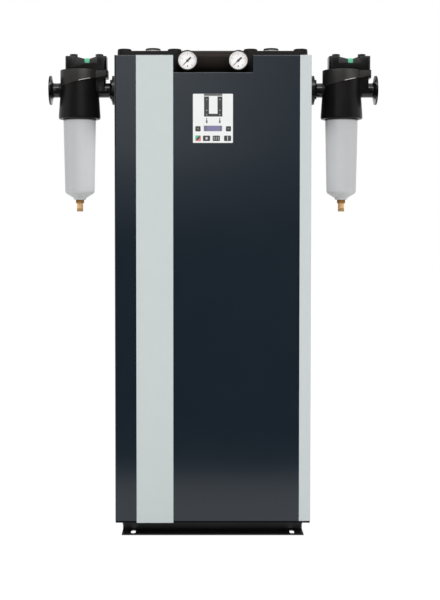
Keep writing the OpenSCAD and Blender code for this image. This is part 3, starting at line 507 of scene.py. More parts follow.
# The top manifold is painted darker downwards from its top: painted shade in the notch.
MANIFOLD_BLACK = ShadeBandFinish(
    "manifold_black", srgb(52, 45, 40), 0.42, specular=0.1, tone=0.14,
    grain_scale=380.0, grain_depth=0.05, shade_colour=srgb(17, 14, 13), fade=50.0 * MM,
)
MOULDED_BLACK = Finish(
    "moulded_black", srgb(17, 17, 18), 0.40, specular=0.3, tone=0.12,
    grain_scale=900.0, grain_depth=0.03,
)
FOOT_BLACK = Finish(
    "foot_black", srgb(26, 26, 26), 0.32, specular=0.45, tone=0.12,
    grain_scale=600.0, grain_depth=0.05,
)
# The bowl is painted dark in a narrow band just below the head: a painted shadow under
# the rim.
BOWL_PAINT = ShadeBandFinish(
    "bowl_paint", srgb(188, 189, 190), 0.32, specular=0.5, tone=0.025,
    grain_scale=380.0, grain_depth=0.03, shade_colour=srgb(34, 32, 31), fade=-4.2 * MM,
)
BRASS = Finish(
    "brass", (0.93, 0.52, 0.22), 0.42, metal=0.55, tone=0.2, tone_scale=160.0,
    grain=Grain.ALONG_X, grain_scale=2600.0, grain_depth=0.02,
)
# The knob is painted darker towards its bottom: painted shade.
BRASS_KNOB = ShadeBandFinish(
    "brass_knob", (0.86, 0.48, 0.19), 0.40, metal=0.5, tone=0.15, tone_scale=160.0,
    grain=Grain.ALONG_X, grain_scale=2600.0, grain_depth=0.02,
    shade_colour=(0.43, 0.27, 0.115), fade=12.0 * MM,
)
# The nut is painted darker over its upper part: painted shade.
BRASS_NUT = ShadeBandFinish(
    "brass_nut", (0.92, 0.54, 0.255), 0.38, metal=0.4, tone=0.2, tone_scale=190.0,
    grain=Grain.ALONG_X, grain_scale=2600.0, grain_depth=0.03,
    shade_colour=(0.24, 0.125, 0.045), fade=-4.0 * MM,
)
PLUG_PALE = Finish(
    "plug_pale", srgb(226, 223, 221), 0.5, specular=0.3, tone=0.03,
    grain_scale=900.0, grain_depth=0.02,
)
ZINC = Finish(
    "zinc", (0.60, 0.61, 0.63), 0.38, metal=1.0, tone=0.15, tone_scale=220.0,
    grain_scale=1500.0, grain_depth=0.02,
)
BLACK_OXIDE = Finish(
    "black_oxide", srgb(24, 24, 26), 0.42, metal=0.3, tone=0.15, tone_scale=200.0,
    grain_scale=1500.0, grain_depth=0.02,
)
STAINLESS = Finish(
    "stainless", (0.55, 0.56, 0.57), 0.30, metal=1.0, tone=0.08,
    grain=Grain.ALONG_X, grain_scale=2200.0, grain_depth=0.01,
)
EXTRUDED = Finish(
    "extruded_aluminium", (0.68, 0.69, 0.70), 0.40, metal=1.0, tone=0.06,
    grain=Grain.ALONG_Z, grain_scale=1600.0, grain_depth=0.02,
)
SPRING_STEEL = Finish(
    "spring_steel", (0.42, 0.42, 0.43), 0.35, metal=1.0, tone=0.12,
    grain_scale=1800.0, grain_depth=0.01,
)
SEAL_RUBBER = Finish(
    "seal_rubber", srgb(22, 22, 22), 0.62, specular=0.35, grain_scale=1200.0,
)
SINTERED = BeadFinish(
    "sintered_bronze", (0.50, 0.38, 0.20), 0.62, metal=0.6, tone=0.25,
    grain_depth=0.12, bead=0.7,
)
DESICCANT = BeadFinish(
    "desiccant_beads", srgb(232, 226, 210), 0.75, tone=0.12, grain_depth=1.2,
    bead=4.0,
)
FILTER_MEDIA = Finish(
    "filter_media", srgb(226, 224, 214), 0.85, specular=0.2, tone=0.08,
    grain=Grain.ALONG_Z, grain_scale=300.0, grain_depth=0.6,
)
BOARD = GridFinish(
    "circuit_board", srgb(24, 96, 52), 0.4, grain_depth=0.03,
    line_colour=srgb(92, 140, 66), pitch=5.0, line=0.14,
)
FLAG_GREEN = Finish(
    "flag_green", srgb(96, 214, 164), 0.35, tone=0.06, grain_scale=900.0,
    grain_depth=0.01,
)
OVERLAY_WHITE = Finish(
    "overlay_white", srgb(233, 235, 234), 0.45, specular=0.2, tone=0.01,
    grain_scale=1500.0, grain_depth=0.01,
)
PRINT_DARK = Finish(
    "print_dark", srgb(62, 62, 63), 0.5, specular=0.3, tone=0.08,
    grain_scale=1500.0, grain_depth=0.01,
)
PRINT_MID = replace(
    PRINT_DARK, name="print_mid", colour=srgb(94, 94, 95), tone=0.06
)
PRINT_GREY = replace(PRINT_MID, name="print_grey", colour=srgb(150, 152, 152))
SIGN_PALE = replace(
    PRINT_DARK, name="sign_pale", colour=srgb(205, 206, 206), tone=0.04
)
KEY_GREEN = Finish(
    "key_green", srgb(86, 184, 146), 0.45, tone=0.05, grain_scale=1500.0,
    grain_depth=0.01,
)
KEY_RED = replace(KEY_GREEN, name="key_red", colour=srgb(212, 112, 110))
DISPLAY = GridFinish(
    "display", srgb(132, 128, 162), 0.2, tone=0.03, grain_depth=0.005,
    line_colour=srgb(118, 114, 148), pitch=0.6, line=0.2,
)
DISPLAY_END = Finish(
    "display_end", srgb(114, 111, 130), 0.2, tone=0.05, grain_scale=1500.0,
    grain_depth=0.005,
)
DISPLAY_TYPE = replace(
    DISPLAY_END, name="display_type", colour=srgb(122, 117, 152), rough=0.3
)
# The dial glows faintly though it is no lamp: painted light.
DIAL_WHITE = Finish(
    "dial_white", srgb(250, 247, 246), 0.5, specular=0.3, glow=0.18, tone=0.01,
    grain_scale=1800.0, grain_depth=0.005,
)
POINTER_BLACK = Finish(
    "pointer_black", srgb(26, 26, 27), 0.45, tone=0.1, grain_scale=1800.0,
    grain_depth=0.005,
)
CLEAR_LENS = Finish(
    "clear_lens", srgb(240, 244, 245), 0.06, alpha=0.03, tone=0.02,
    gloss_spread=0.02, grain_scale=60.0, grain_depth=0.002,
)


class Maker:
    """Mesh steps that the sub-assemblies share."""

    @staticmethod
    def dress(finish: Finish, *nodes: str) -> None:
        """Give CAD nodes a finish.

        Args:
            finish: The finish.
            nodes: Names of the nodes.
        """
        for node in nodes:
            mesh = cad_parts[node].data
            mesh.materials.clear()
            mesh.materials.append(finish.material())
            LOG.info("dressed %s in %s", node, finish.name)

    @staticmethod
    def piece(
        name: str,
        mesh: bmesh.types.BMesh,
        finish: Finish,
        body: str = BODY,
        replaces: Sequence[str] = (),
        smooth_angle: float = 35.0,
    ) -> bpy.types.Object:
        """Turn a built mesh into a dressed piece that rides on a body.

        Args:
            name: Name of the piece.
            mesh: The built mesh, which is freed.
            finish: The finish.
            body: Body that carries the piece.
            replaces: CAD nodes that the piece stands for.
            smooth_angle: Edges sharper than this many degrees stay sharp.

        Returns:
            The new object.
        """
        bmesh.ops.recalc_face_normals(mesh, faces=mesh.faces)
        data = bpy.data.meshes.new(name)
        mesh.to_mesh(data)
        mesh.free()
        data.polygons.foreach_set("use_smooth", [True] * len(data.polygons))
        data.set_sharp_from_angle(angle=math.radians(smooth_angle))
        data.materials.append(finish.material())
        made = bpy.data.objects.new(name, data)
        bpy.context.scene.collection.objects.link(made)
        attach(made, body)
        if replaces:
            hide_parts(*replaces)
        LOG.info("built %s: %d faces", name, len(data.polygons))
        return made

    @staticmethod
    def soften(
        mesh: bmesh.types.BMesh,
        edges: Iterable[bmesh.types.BMEdge],
        radius: float,
        segments: int = 2,
    ) -> None:
        """Round edges of a mesh.

        Args:
            mesh: The mesh.
            edges: Its edges to round.
            radius: Radius, in metres.
            segments: Faces over each rounded edge.
        """
        bmesh.ops.bevel(
            mesh, geom=list(edges), offset=radius, segments=segments, profile=0.5,
            affect="EDGES", material=-1, clamp_overlap=True,
        )

    @staticmethod
    def block(
        mesh: bmesh.types.BMesh,
        low: Sequence[float],
        high: Sequence[float],
        edge: float = 0.0,
    ) -> list[bmesh.types.BMVert]:
        """Add a box with softened edges.

        Args:
            mesh: Mesh to add to.
            low: Lowest corner, in metres.
            high: Highest corner, in metres.
            edge: Radius of the edges, in metres.

        Returns:
            The box's vertices before its edges are softened.
        """
        low, high = Vector(low), Vector(high)
        size = high - low
        place = Matrix.Translation((low + high) / 2) @ Matrix.Diagonal((*size, 1.0))
        verts = bmesh.ops.create_cube(mesh, size=1.0, matrix=place)["verts"]
        if edge > 0:
            Maker.soften(mesh, {e for v in verts for e in v.link_edges}, edge)
        return verts

    @staticmethod
    def plate(
        mesh: bmesh.types.BMesh,
        span_x: Sequence[float],
        span_z: Sequence[float],
        span_y: Sequence[float],
        corner: float,
    ) -> None:
        """Add an upright plate that faces the front, with rounded corners.

        Args:
            mesh: Mesh to add to.
            span_x: Left and right side, in metres.
            span_z: Lower and upper side, in metres.
            span_y: Front and back, in metres.
            corner: Radius of the corners, in metres.
        """
        verts = Maker.block(mesh, *zip(span_x, span_y, span_z))
        edges = {
            e for v in verts for e in v.link_edges
            if e.verts[0].co.y != e.verts[1].co.y
        }
        Maker.soften(mesh, edges, corner, 4)

    @staticmethod
    def disc(
        mesh: bmesh.types.BMesh,
        centre: Sequence[float],
        radius: float,
        depth: float,
        segments: int = 32,
    ) -> None:
        """Add a disc that faces the front.

        Args:
            mesh: Mesh to add to.
            centre: Middle of its front face, in metres.
            radius: Radius, in metres.
            depth: Thickness towards the back, in metres.
            segments: Sides of the disc.
        """
        turn = Matrix.Rotation(math.radians(90), 4, "X")
        middle = Vector(centre) + Vector((0, depth / 2, 0))
        bmesh.ops.create_cone(
            mesh, cap_ends=True, segments=segments, radius1=radius, radius2=radius,
            depth=depth, matrix=Matrix.Translation(middle) @ turn,
        )

    @staticmethod
    def figures(
        mesh: bmesh.types.BMesh, text: str, size: float, place: Matrix
    ) -> None:
        """Add plain figures as thin solid shapes.

        Args:
            mesh: Mesh to add to.
            text: The figures.
            size: Height of the type, in metres.
            place: Where the figures go; they face local +Z.
        """
        curve = bpy.data.curves.new("figures", "FONT")
        curve.body = text
        curve.size = size
        curve.align_x = "CENTER"
        curve.align_y = "CENTER"
        curve.extrude = 0.02 * MM
        curve.resolution_u = 3
        holder = bpy.data.objects.new("figures", curve)
        shape = bpy.data.meshes.new_from_object(holder)
        shape.transform(place)
        mesh.from_mesh(shape)
        bpy.data.objects.remove(holder)
        bpy.data.curves.remove(curve)
        bpy.data.meshes.remove(shape)

    @staticmethod
    def soft_copy(
        node: str, finish: Finish, radius: float, body: str = BODY, angle: float = 32.0
    ) -> bpy.types.Object:
        """Stand in for a CAD node with the same shape and softened edges.

        Args:
            node: Name of the node.
            finish: The finish.
            radius: Radius of the softened edges, in metres.
            body: Body that carries the node.
            angle: Edges sharper than this many degrees are softened.

        Returns:
            The new object.
        """
        mesh = bmesh.new()
        mesh.from_mesh(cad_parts[node].data)
        bmesh.ops.remove_doubles(mesh, verts=mesh.verts, dist=WELD)
        bmesh.ops.dissolve_limit(
            mesh, angle_limit=FLAT_ANGLE, verts=mesh.verts, edges=mesh.edges
        )
        limit = math.radians(angle)
        edges = [
            e for e in mesh.edges if e.is_manifold and e.calc_face_angle() > limit
        ]
        Maker.soften(mesh, edges, radius)
        return Maker.piece(node + "_cast", mesh, finish, body, (node,))


@dataclass
class Cabinet:
    """The folded covers with their silver foils."""

    # Height of the painted shade along the cover's bottom edge
    hem_shade: float = 5.0 * MM

    def build(self) -> None:
        """Dress the covers."""
        low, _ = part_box("front_cover")
        paint = replace(COVER_PAINT, level=low.z + self.hem_shade)
        Maker.dress(paint, "front_cover", "rear_cover")
        Maker.dress(SILVER_FOIL, "accent_stripe", "edge_stripe")
        Maker.dress(BLACK_OXIDE, "cover_screws")


@dataclass(frozen=True)
class Mark:
    """A flat mark on the keypad, in millimetres from the keypad's middle."""

    across: Span
    up: Span
    corner: float = 0.3


@dataclass
class Keypad:
    """The membrane keypad with its picture of two towers, keys and display."""

    corner: float = 2.0 * MM
    relief: float = 0.3 * MM
    sink: float = 0.1 * MM
    ink: float = 0.12 * MM
    key_rise: float = 0.2 * MM
    sign_rise: float = 0.27 * MM
    bar: tuple[Mark, ...] = (Mark((-22.8, 24.0), (56.8, 61.8)),)
    towers: tuple[Mark, ...] = (
        Mark((-22.6, -10.0), (4.5, 55.2)),
        Mark((11.6, 24.0), (4.5, 55.2)),
        Mark((-10.4, 12.0), (4.5, 11.6)),
    )
    below: tuple[Mark, ...] = (
        Mark((-16.8, -14.8), (-3.6, 1.4)),
        Mark((-17.8, -13.8), (-12.4, -4.4), 1.4),
        Mark((16.4, 18.4), (-3.6, 1.4)),
        Mark((15.4, 19.4), (-12.4, -4.4), 1.4),
    )
    lamp_x: Span = (-15.8, 17.4)
    lamp_z: tuple[float, ...] = (47.6, 20.3, 9.2)
    lamp_r: float = 1.7 * MM
    lamp_t: float = 0.1 * MM
    lamp_rise: float = 0.06 * MM
    lamp_sides: int = 24
    keys: tuple[Mark, ...] = (
        Mark((-44.5, -31.2), (-33.0, -19.8), 2.0),
        Mark((33.0, 45.8), (-33.0, -19.8), 2.0),
        Mark((-25.2, -7.2), (-57.2, -43.6), 2.0),
        Mark((-0.6, 17.8), (-57.2, -43.6), 2.0),
        Mark((28.2, 46.2), (-57.2, -43.6), 2.0),
    )
    start_key: Mark = Mark((-44.8, -30.4), (-57.4, -43.0), 2.0)
    start_stroke: Mark = Mark((-43.4, -31.8), (-52.3, -48.1), 0.6)
    signs: tuple[Mark, ...] = (
        Mark((-40.1, -35.7), (-27.3, -25.5), 0.4),
        Mark((37.2, 41.6), (-27.3, -25.5), 0.4),
        Mark((-38.8, -37.0), (-28.6, -24.2), 0.4),
        Mark((1.9, 4.5), (-54.6, -46.2), 0.6),
        Mark((7.3, 9.9), (-54.6, -46.2), 0.6),
        Mark((12.7, 15.3), (-54.6, -46.2), 0.6),
    )
    pale_signs: tuple[Mark, ...] = (
        Mark((-18.6, -13.4), (-53.4, -47.4), 0.8),
        Mark((36.3, 38.1), (-55.8, -45.0), 0.4),
    )
    row_shares: Span = (0.34, 0.66)
    row_half: float = 1.1 * MM
    cells: int = 12
    cell_start: float = 0.08
    cell_pitch: float = 0.072
    cell_width: float = 0.045
    cell_span: Span = (-0.03 * MM, 0.02 * MM)
    cell_corner: float = 0.15 * MM
    end_shares: Span = (0.16, 0.1)
    end_span: Span = (-0.05 * MM, 0.02 * MM)
    end_corner: float = 0.3 * MM

    def build(self) -> None:
        """Build the overlay and what is printed and raised on it."""
        low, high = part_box("keypad_panel")
        self.middle = (low + high) / 2
        self.face = low.y + self.relief
        self._overlay(low, high)
        self._print("keypad_bar", self.bar, self.ink, PRINT_MID)
        self._print("keypad_picture", self.towers, self.ink, PRINT_DARK)
        self._print("keypad_below", self.below, self.ink, PRINT_MID)
        self._lamps()
        self._print("keypad_keys", self.keys, self.key_rise, PRINT_DARK)
        self._start_key()
        self._print("keypad_signs", self.signs, self.sign_rise, PRINT_GREY)
        self._print("keypad_pale_signs", self.pale_signs, self.sign_rise, SIGN_PALE)
        self._display()
        Maker.dress(MOULDED_BLACK, "controller_box")
        Maker.dress(BOARD, "circuit_board")

    def _mark(self, mesh: bmesh.types.BMesh, mark: Mark, rise: float) -> None:
        """Add a flat mark on the overlay.

        Args:
            mesh: Mesh to add to.
            mark: The mark.
            rise: Height above the overlay, in metres.
        """
        span_x = tuple(self.middle.x + x * MM for x in mark.across)
        span_z = tuple(self.middle.z + z * MM for z in mark.up)
        span_y = (self.face - rise, self.face + self.sink)
        Maker.plate(mesh, span_x, span_z, span_y, mark.corner * MM)

    def _print(
        self, name: str, marks: Sequence[Mark], rise: float, finish: Finish
    ) -> None:
        """Build a piece of marks of one finish.

        Args:
            name: Name of the piece.
            marks: The marks.
            rise: Height above the overlay, in metres.
            finish: The finish.
        """
        mesh = bmesh.new()
        for mark in marks:
            self._mark(mesh, mark, rise)
        Maker.piece(name, mesh, finish)

    def _overlay(self, low: Vector, high: Vector) -> None:
        """Build the white overlay with its rounded corners.

        Args:
            low: Lowest corner of the keypad, in metres.
            high: Highest corner of the keypad, in metres.
        """
        mesh = bmesh.new()
        Maker.plate(
            mesh, (low.x, high.x), (low.z, high.z), (self.face, high.y), self.corner
        )
        Maker.piece("keypad_overlay", mesh, OVERLAY_WHITE, BODY, ("keypad_panel",))

    def _lamps(self) -> None:
        """Set the small lamps into the picture of the towers."""
        mesh = bmesh.new()
        front = self.face - self.ink - self.lamp_rise
        for x in self.lamp_x:
            for z in self.lamp_z:
                centre = (self.middle.x + x * MM, front, self.middle.z + z * MM)
                Maker.disc(mesh, centre, self.lamp_r, self.lamp_t, self.lamp_sides)
        Maker.piece("keypad_lamps", mesh, PRINT_GREY)

    def _start_key(self) -> None:
        """Build the two-coloured start and stop key, cut along its diagonal."""
        across, up = self.start_key.across, self.start_key.up
        middle = self.middle + Vector((sum(across), 0, sum(up))) / 2 * MM
        for name, finish, keep in (
            ("keypad_start_half", KEY_GREEN, (-1, 0, 1)),
            ("keypad_stop_half", KEY_RED, (1, 0, -1)),
        ):
            mesh = bmesh.new()
            self._mark(mesh, self.start_key, self.key_rise)
            cut = bmesh.ops.bisect_plane(
                mesh, geom=[*mesh.verts, *mesh.edges, *mesh.faces], plane_co=middle,
                plane_no=Vector(keep), clear_inner=True,
            )["geom_cut"]
            rim = [e for e in cut if isinstance(e, bmesh.types.BMEdge)]
            bmesh.ops.holes_fill(mesh, edges=rim)
            Maker.piece(name, mesh, finish)
        stroke = bmesh.new()
        self._mark(stroke, self.start_stroke, self.sign_rise)
        turn = Matrix.Rotation(math.radians(-45), 4, "Y")
        bmesh.ops.rotate(stroke, cent=middle, matrix=turn, verts=stroke.verts)
        Maker.piece("keypad_start_stroke", stroke, PRINT_DARK)

    def _display(self) -> None:
        """Frame the display and set its rows of figures."""
        Maker.dress(DISPLAY, "display_window")
        low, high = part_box("display_window")
        width = high.x - low.x
        rows = bmesh.new()
        depth = tuple(low.y + y for y in self.cell_span)
        for share in self.row_shares:
            z = low.z + (high.z - low.z) * share
            for cell in range(self.cells):
                x = low.x + width * (self.cell_start + self.cell_pitch * cell)
                Maker.plate(
                    rows, (x, x + width * self.cell_width),
                    (z - self.row_half, z + self.row_half), depth, self.cell_corner,
                )
        Maker.piece("display_cells", rows, DISPLAY_TYPE)
        ends = bmesh.new()
        left, right = (share * width for share in self.end_shares)
        depth = tuple(low.y + y for y in self.end_span)
        for span in ((low.x, low.x + left), (high.x - right, high.x)):
            Maker.plate(ends, span, (low.z, high.z), depth, self.end_corner)
        Maker.piece("display_ends", ends, DISPLAY_END)


@dataclass
class Gauge:
    """A pressure gauge with its printed dial."""

    side: str
    sweep: float = 270.0
    start: float = 225.0
    steps: int = 40
    numbers: tuple[str, ...] = ("0", "4", "8", "12", "16")
    ring_share: float = 0.857
    ink: float = 0.06 * MM
    sink: float = 0.02 * MM
    tick_major: Span = (3.4 * MM, 0.55 * MM)
    tick_middle: Span = (2.6 * MM, 0.3 * MM)
    tick_minor: Span = (1.7 * MM, 0.3 * MM)
    sign_drop: float = 14.4 * MM
    sign_rows: tuple[tuple[float, float, float], ...] = (
        (1.9 * MM, -0.7 * MM, 0.9 * MM), (1.4 * MM, 1.2 * MM, 2.8 * MM),
    )
    type_size: float = 4.0 * MM
    type_inset: float = 6.0 * MM
    type_lift: float = 0.03 * MM
    needle_l: float = 16.4 * MM
    needle_half: float = 1.3 * MM
    needle_tip: float = 0.4
    needle_t: float = 0.8 * MM
    weight_l: float = 12.2 * MM
    weight_half: float = 2.1 * MM
    weight_edge: float = 0.3 * MM
    hub_r: float = 3.1 * MM
    hub_lift: float = 0.1 * MM
    hub_more: float = 1.2 * MM

    def build(self) -> None:
        """Dress the case and print the dial."""
        prefix = self.side + "_gauge_"
        Maker.dress(MOULDED_BLACK, prefix + "case")
        Maker.dress(DIAL_WHITE, prefix + "dial")
        Maker.dress(CLEAR_LENS, prefix + "lens")
        low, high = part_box(prefix + "dial")
        self.centre = Vector(((low.x + high.x) / 2, low.y, (low.z + high.z) / 2))
        self.ring = self.ring_share * (high.x - low.x) / 2
        self._scale()
        self._figures()
        self._needle()

    def _needle(self) -> None:
        """Build the needle with its hub and broad counterweight."""
        node = self.side + "_gauge_pointer"
        low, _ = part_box(node)
        front, back = low.y, low.y + self.needle_t
        mesh = bmesh.new()
        blade = Maker.block(
            mesh, (-self.needle_l, front, -self.needle_half),
            (0, back, self.needle_half),
        )
        for vert in blade:
            if vert.co.x < -self.needle_l / 2:
                vert.co.z *= self.needle_tip
        Maker.block(
            mesh, (0, front, -self.weight_half),
            (self.weight_l, back, self.weight_half), self.weight_edge,
        )
        Maker.disc(
            mesh, (0, front - self.hub_lift, 0), self.hub_r,
            self.needle_t + self.hub_more,
        )
        turn = Matrix.Rotation(math.radians(180 - self.start), 4, "Y")
        place = Matrix.Translation((self.centre.x, 0, self.centre.z)) @ turn
        bmesh.ops.transform(mesh, matrix=place, verts=mesh.verts)
        Maker.piece(
            self.side + "_gauge_needle", mesh, POINTER_BLACK,
            self.side + "_needle", (node,),
        )

    def _angle(self, share: float) -> float:
        """Return the angle of a share of the scale, anticlockwise from +X."""
        return math.radians(self.start - self.sweep * share)

    def _scale(self) -> None:
        """Print the ring of ticks and the sign below the middle."""
        mesh = bmesh.new()
        for step in range(self.steps + 1):
            length, width = (
                self.tick_major if step % 10 == 0
                else self.tick_middle if step % 5 == 0 else self.tick_minor
            )
            turn = Matrix.Rotation(-self._angle(step / self.steps), 4, "Y")
            verts = Maker.block(
                mesh, (self.ring - length, -self.ink, -width / 2),
                (self.ring, self.sink, width / 2),
            )
            bmesh.ops.transform(
                mesh, matrix=Matrix.Translation(self.centre) @ turn, verts=verts
            )
        sign = self.centre - Vector((0, 0, self.sign_drop))
        for half, low, high in self.sign_rows:
            Maker.block(
                mesh, sign + Vector((-half, -self.ink, low)),
                sign + Vector((half, self.sink, high)),
            )
        Maker.piece(self.side + "_gauge_scale", mesh, PRINT_DARK)

    def _figures(self) -> None:
        """Print the numbers of the scale."""
        mesh = bmesh.new()
        upright = Matrix.Rotation(math.radians(90), 4, "X")
        reach = self.ring - self.type_inset
        for index, text in enumerate(self.numbers):
            angle = self._angle(index / (len(self.numbers) - 1))
            offset = Vector((
                reach * math.cos(angle), -self.type_lift, reach * math.sin(angle)
            ))
            place = Matrix.Translation(self.centre + offset) @ upright
            Maker.figures(mesh, text, self.type_size, place)
        Maker.piece(self.side + "_gauge_numbers", mesh, PRINT_DARK)


@dataclass
class LineFilter:
    """A filter with its cast head, indicator, bowl and drain."""

    name: str
    head_edge: float = 1.0 * MM
    block_edge: float = 0.8 * MM
    band_rise: float = 19.8 * MM
    nut_shade_share: float = 0.33
    rim_shade: float = 5.7 * MM

    def build(self) -> None:
        """Dress the filter."""
        low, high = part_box(self.name + "_bowl")
        port_low, port_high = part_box("inlet_port")
        # The head's finish carries the painted sheen, edge highlight and shade of its
        # band.
        cast = replace(
            HEAD_BLACK, name=self.name + "_black", axis=(low.x + high.x) / 2,
            level=(port_low.z + port_high.z) / 2 + self.band_rise,
        )
        Maker.soft_copy(self.name + "_head", cast, self.head_edge)
        Maker.soft_copy(self.name + "_indicator", INDICATOR_BLACK, self.block_edge)
        rim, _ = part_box(self.name + "_head")
        # Painted shadow: the bowl darkens towards the head's rim.
        paint = replace(BOWL_PAINT, level=rim.z - self.rim_shade)
        Maker.dress(paint, self.name + "_bowl")
        Maker.dress(FLAG_GREEN, self.name + "_flag")
        Maker.dress(FILTER_MEDIA, self.name + "_element")
        # Painted shade: the nut darkens above a third of the drain's height.
        low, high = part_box(self.name + "_drain")
        nut = replace(BRASS_NUT, level=low.z + self.nut_shade_share * (high.z - low.z))
        Maker.dress(nut, self.name + "_drain")
        # Painted shade: the knob darkens downwards from its top over 12 mm.
        _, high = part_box(self.name + "_drain_knob")
        Maker.dress(replace(BRASS_KNOB, level=high.z), self.name + "_drain_knob")


@dataclass
class TopWorks:
    """Tower caps, fill plugs, top manifold and ports."""

    cap_edge: float = 0.8 * MM

    def build(self) -> None:
        """Dress what stands on top of the towers."""
        Maker.soft_copy("left_cap", BLOCK_BLACK, self.cap_edge)
        Maker.soft_copy("right_cap", BLOCK_BLACK, self.cap_edge)
        _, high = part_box("top_manifold")
        # Painted shade: the manifold darkens over the 50 mm below its top.
        Maker.dress(replace(MANIFOLD_BLACK, level=high.z), "top_manifold")
        Maker.dress(CAST_BLACK, "inlet_port", "outlet_port")
        Maker.dress(MOULDED_BLACK, "plug_caps")
        Maker.dress(PLUG_PALE, "plug_collars")
        Maker.dress(BLACK_OXIDE, "tower_bolts", "filter_screws")
        Maker.dress(STAINLESS, "outlet_shuttle", "inlet_shuttle", "inlet_riser")
        Maker.dress(SEAL_RUBBER, "filter_seals", "tower_seals")


@dataclass
class Base:
    """Feet, bottom manifold, valves, and the towers with their filling."""

    def build(self) -> None:
        """Dress the base and what stands inside the covers."""
        Maker.dress(FOOT_BLACK, "front_foot", "rear_foot")
        Maker.dress(ZINC, "foot_bolts")
        Maker.dress(BLOCK_BLACK, "bottom_manifold")
        Maker.dress(EXTRUDED, "left_tower", "right_tower")
        Maker.dress(DESICCANT, "left_bed", "right_bed")
        Maker.dress(STAINLESS, "bed_screens", "left_plunger", "right_plunger")
        Maker.dress(SPRING_STEEL, "bed_springs")
        Maker.dress(BRASS, "valve_bodies")
        Maker.dress(MOULDED_BLACK, "valve_coils")
        Maker.dress(SINTERED, "silencers")


class Rays(Enum):
    """Kinds of ray, by the switch that shows an object to them."""

    CAMERA = "visible_camera"
    DIFFUSE = "visible_diffuse"
    GLOSSY = "visible_glossy"
    SHADOW = "visible_shadow"
    TRANSMISSION = "visible_transmission"


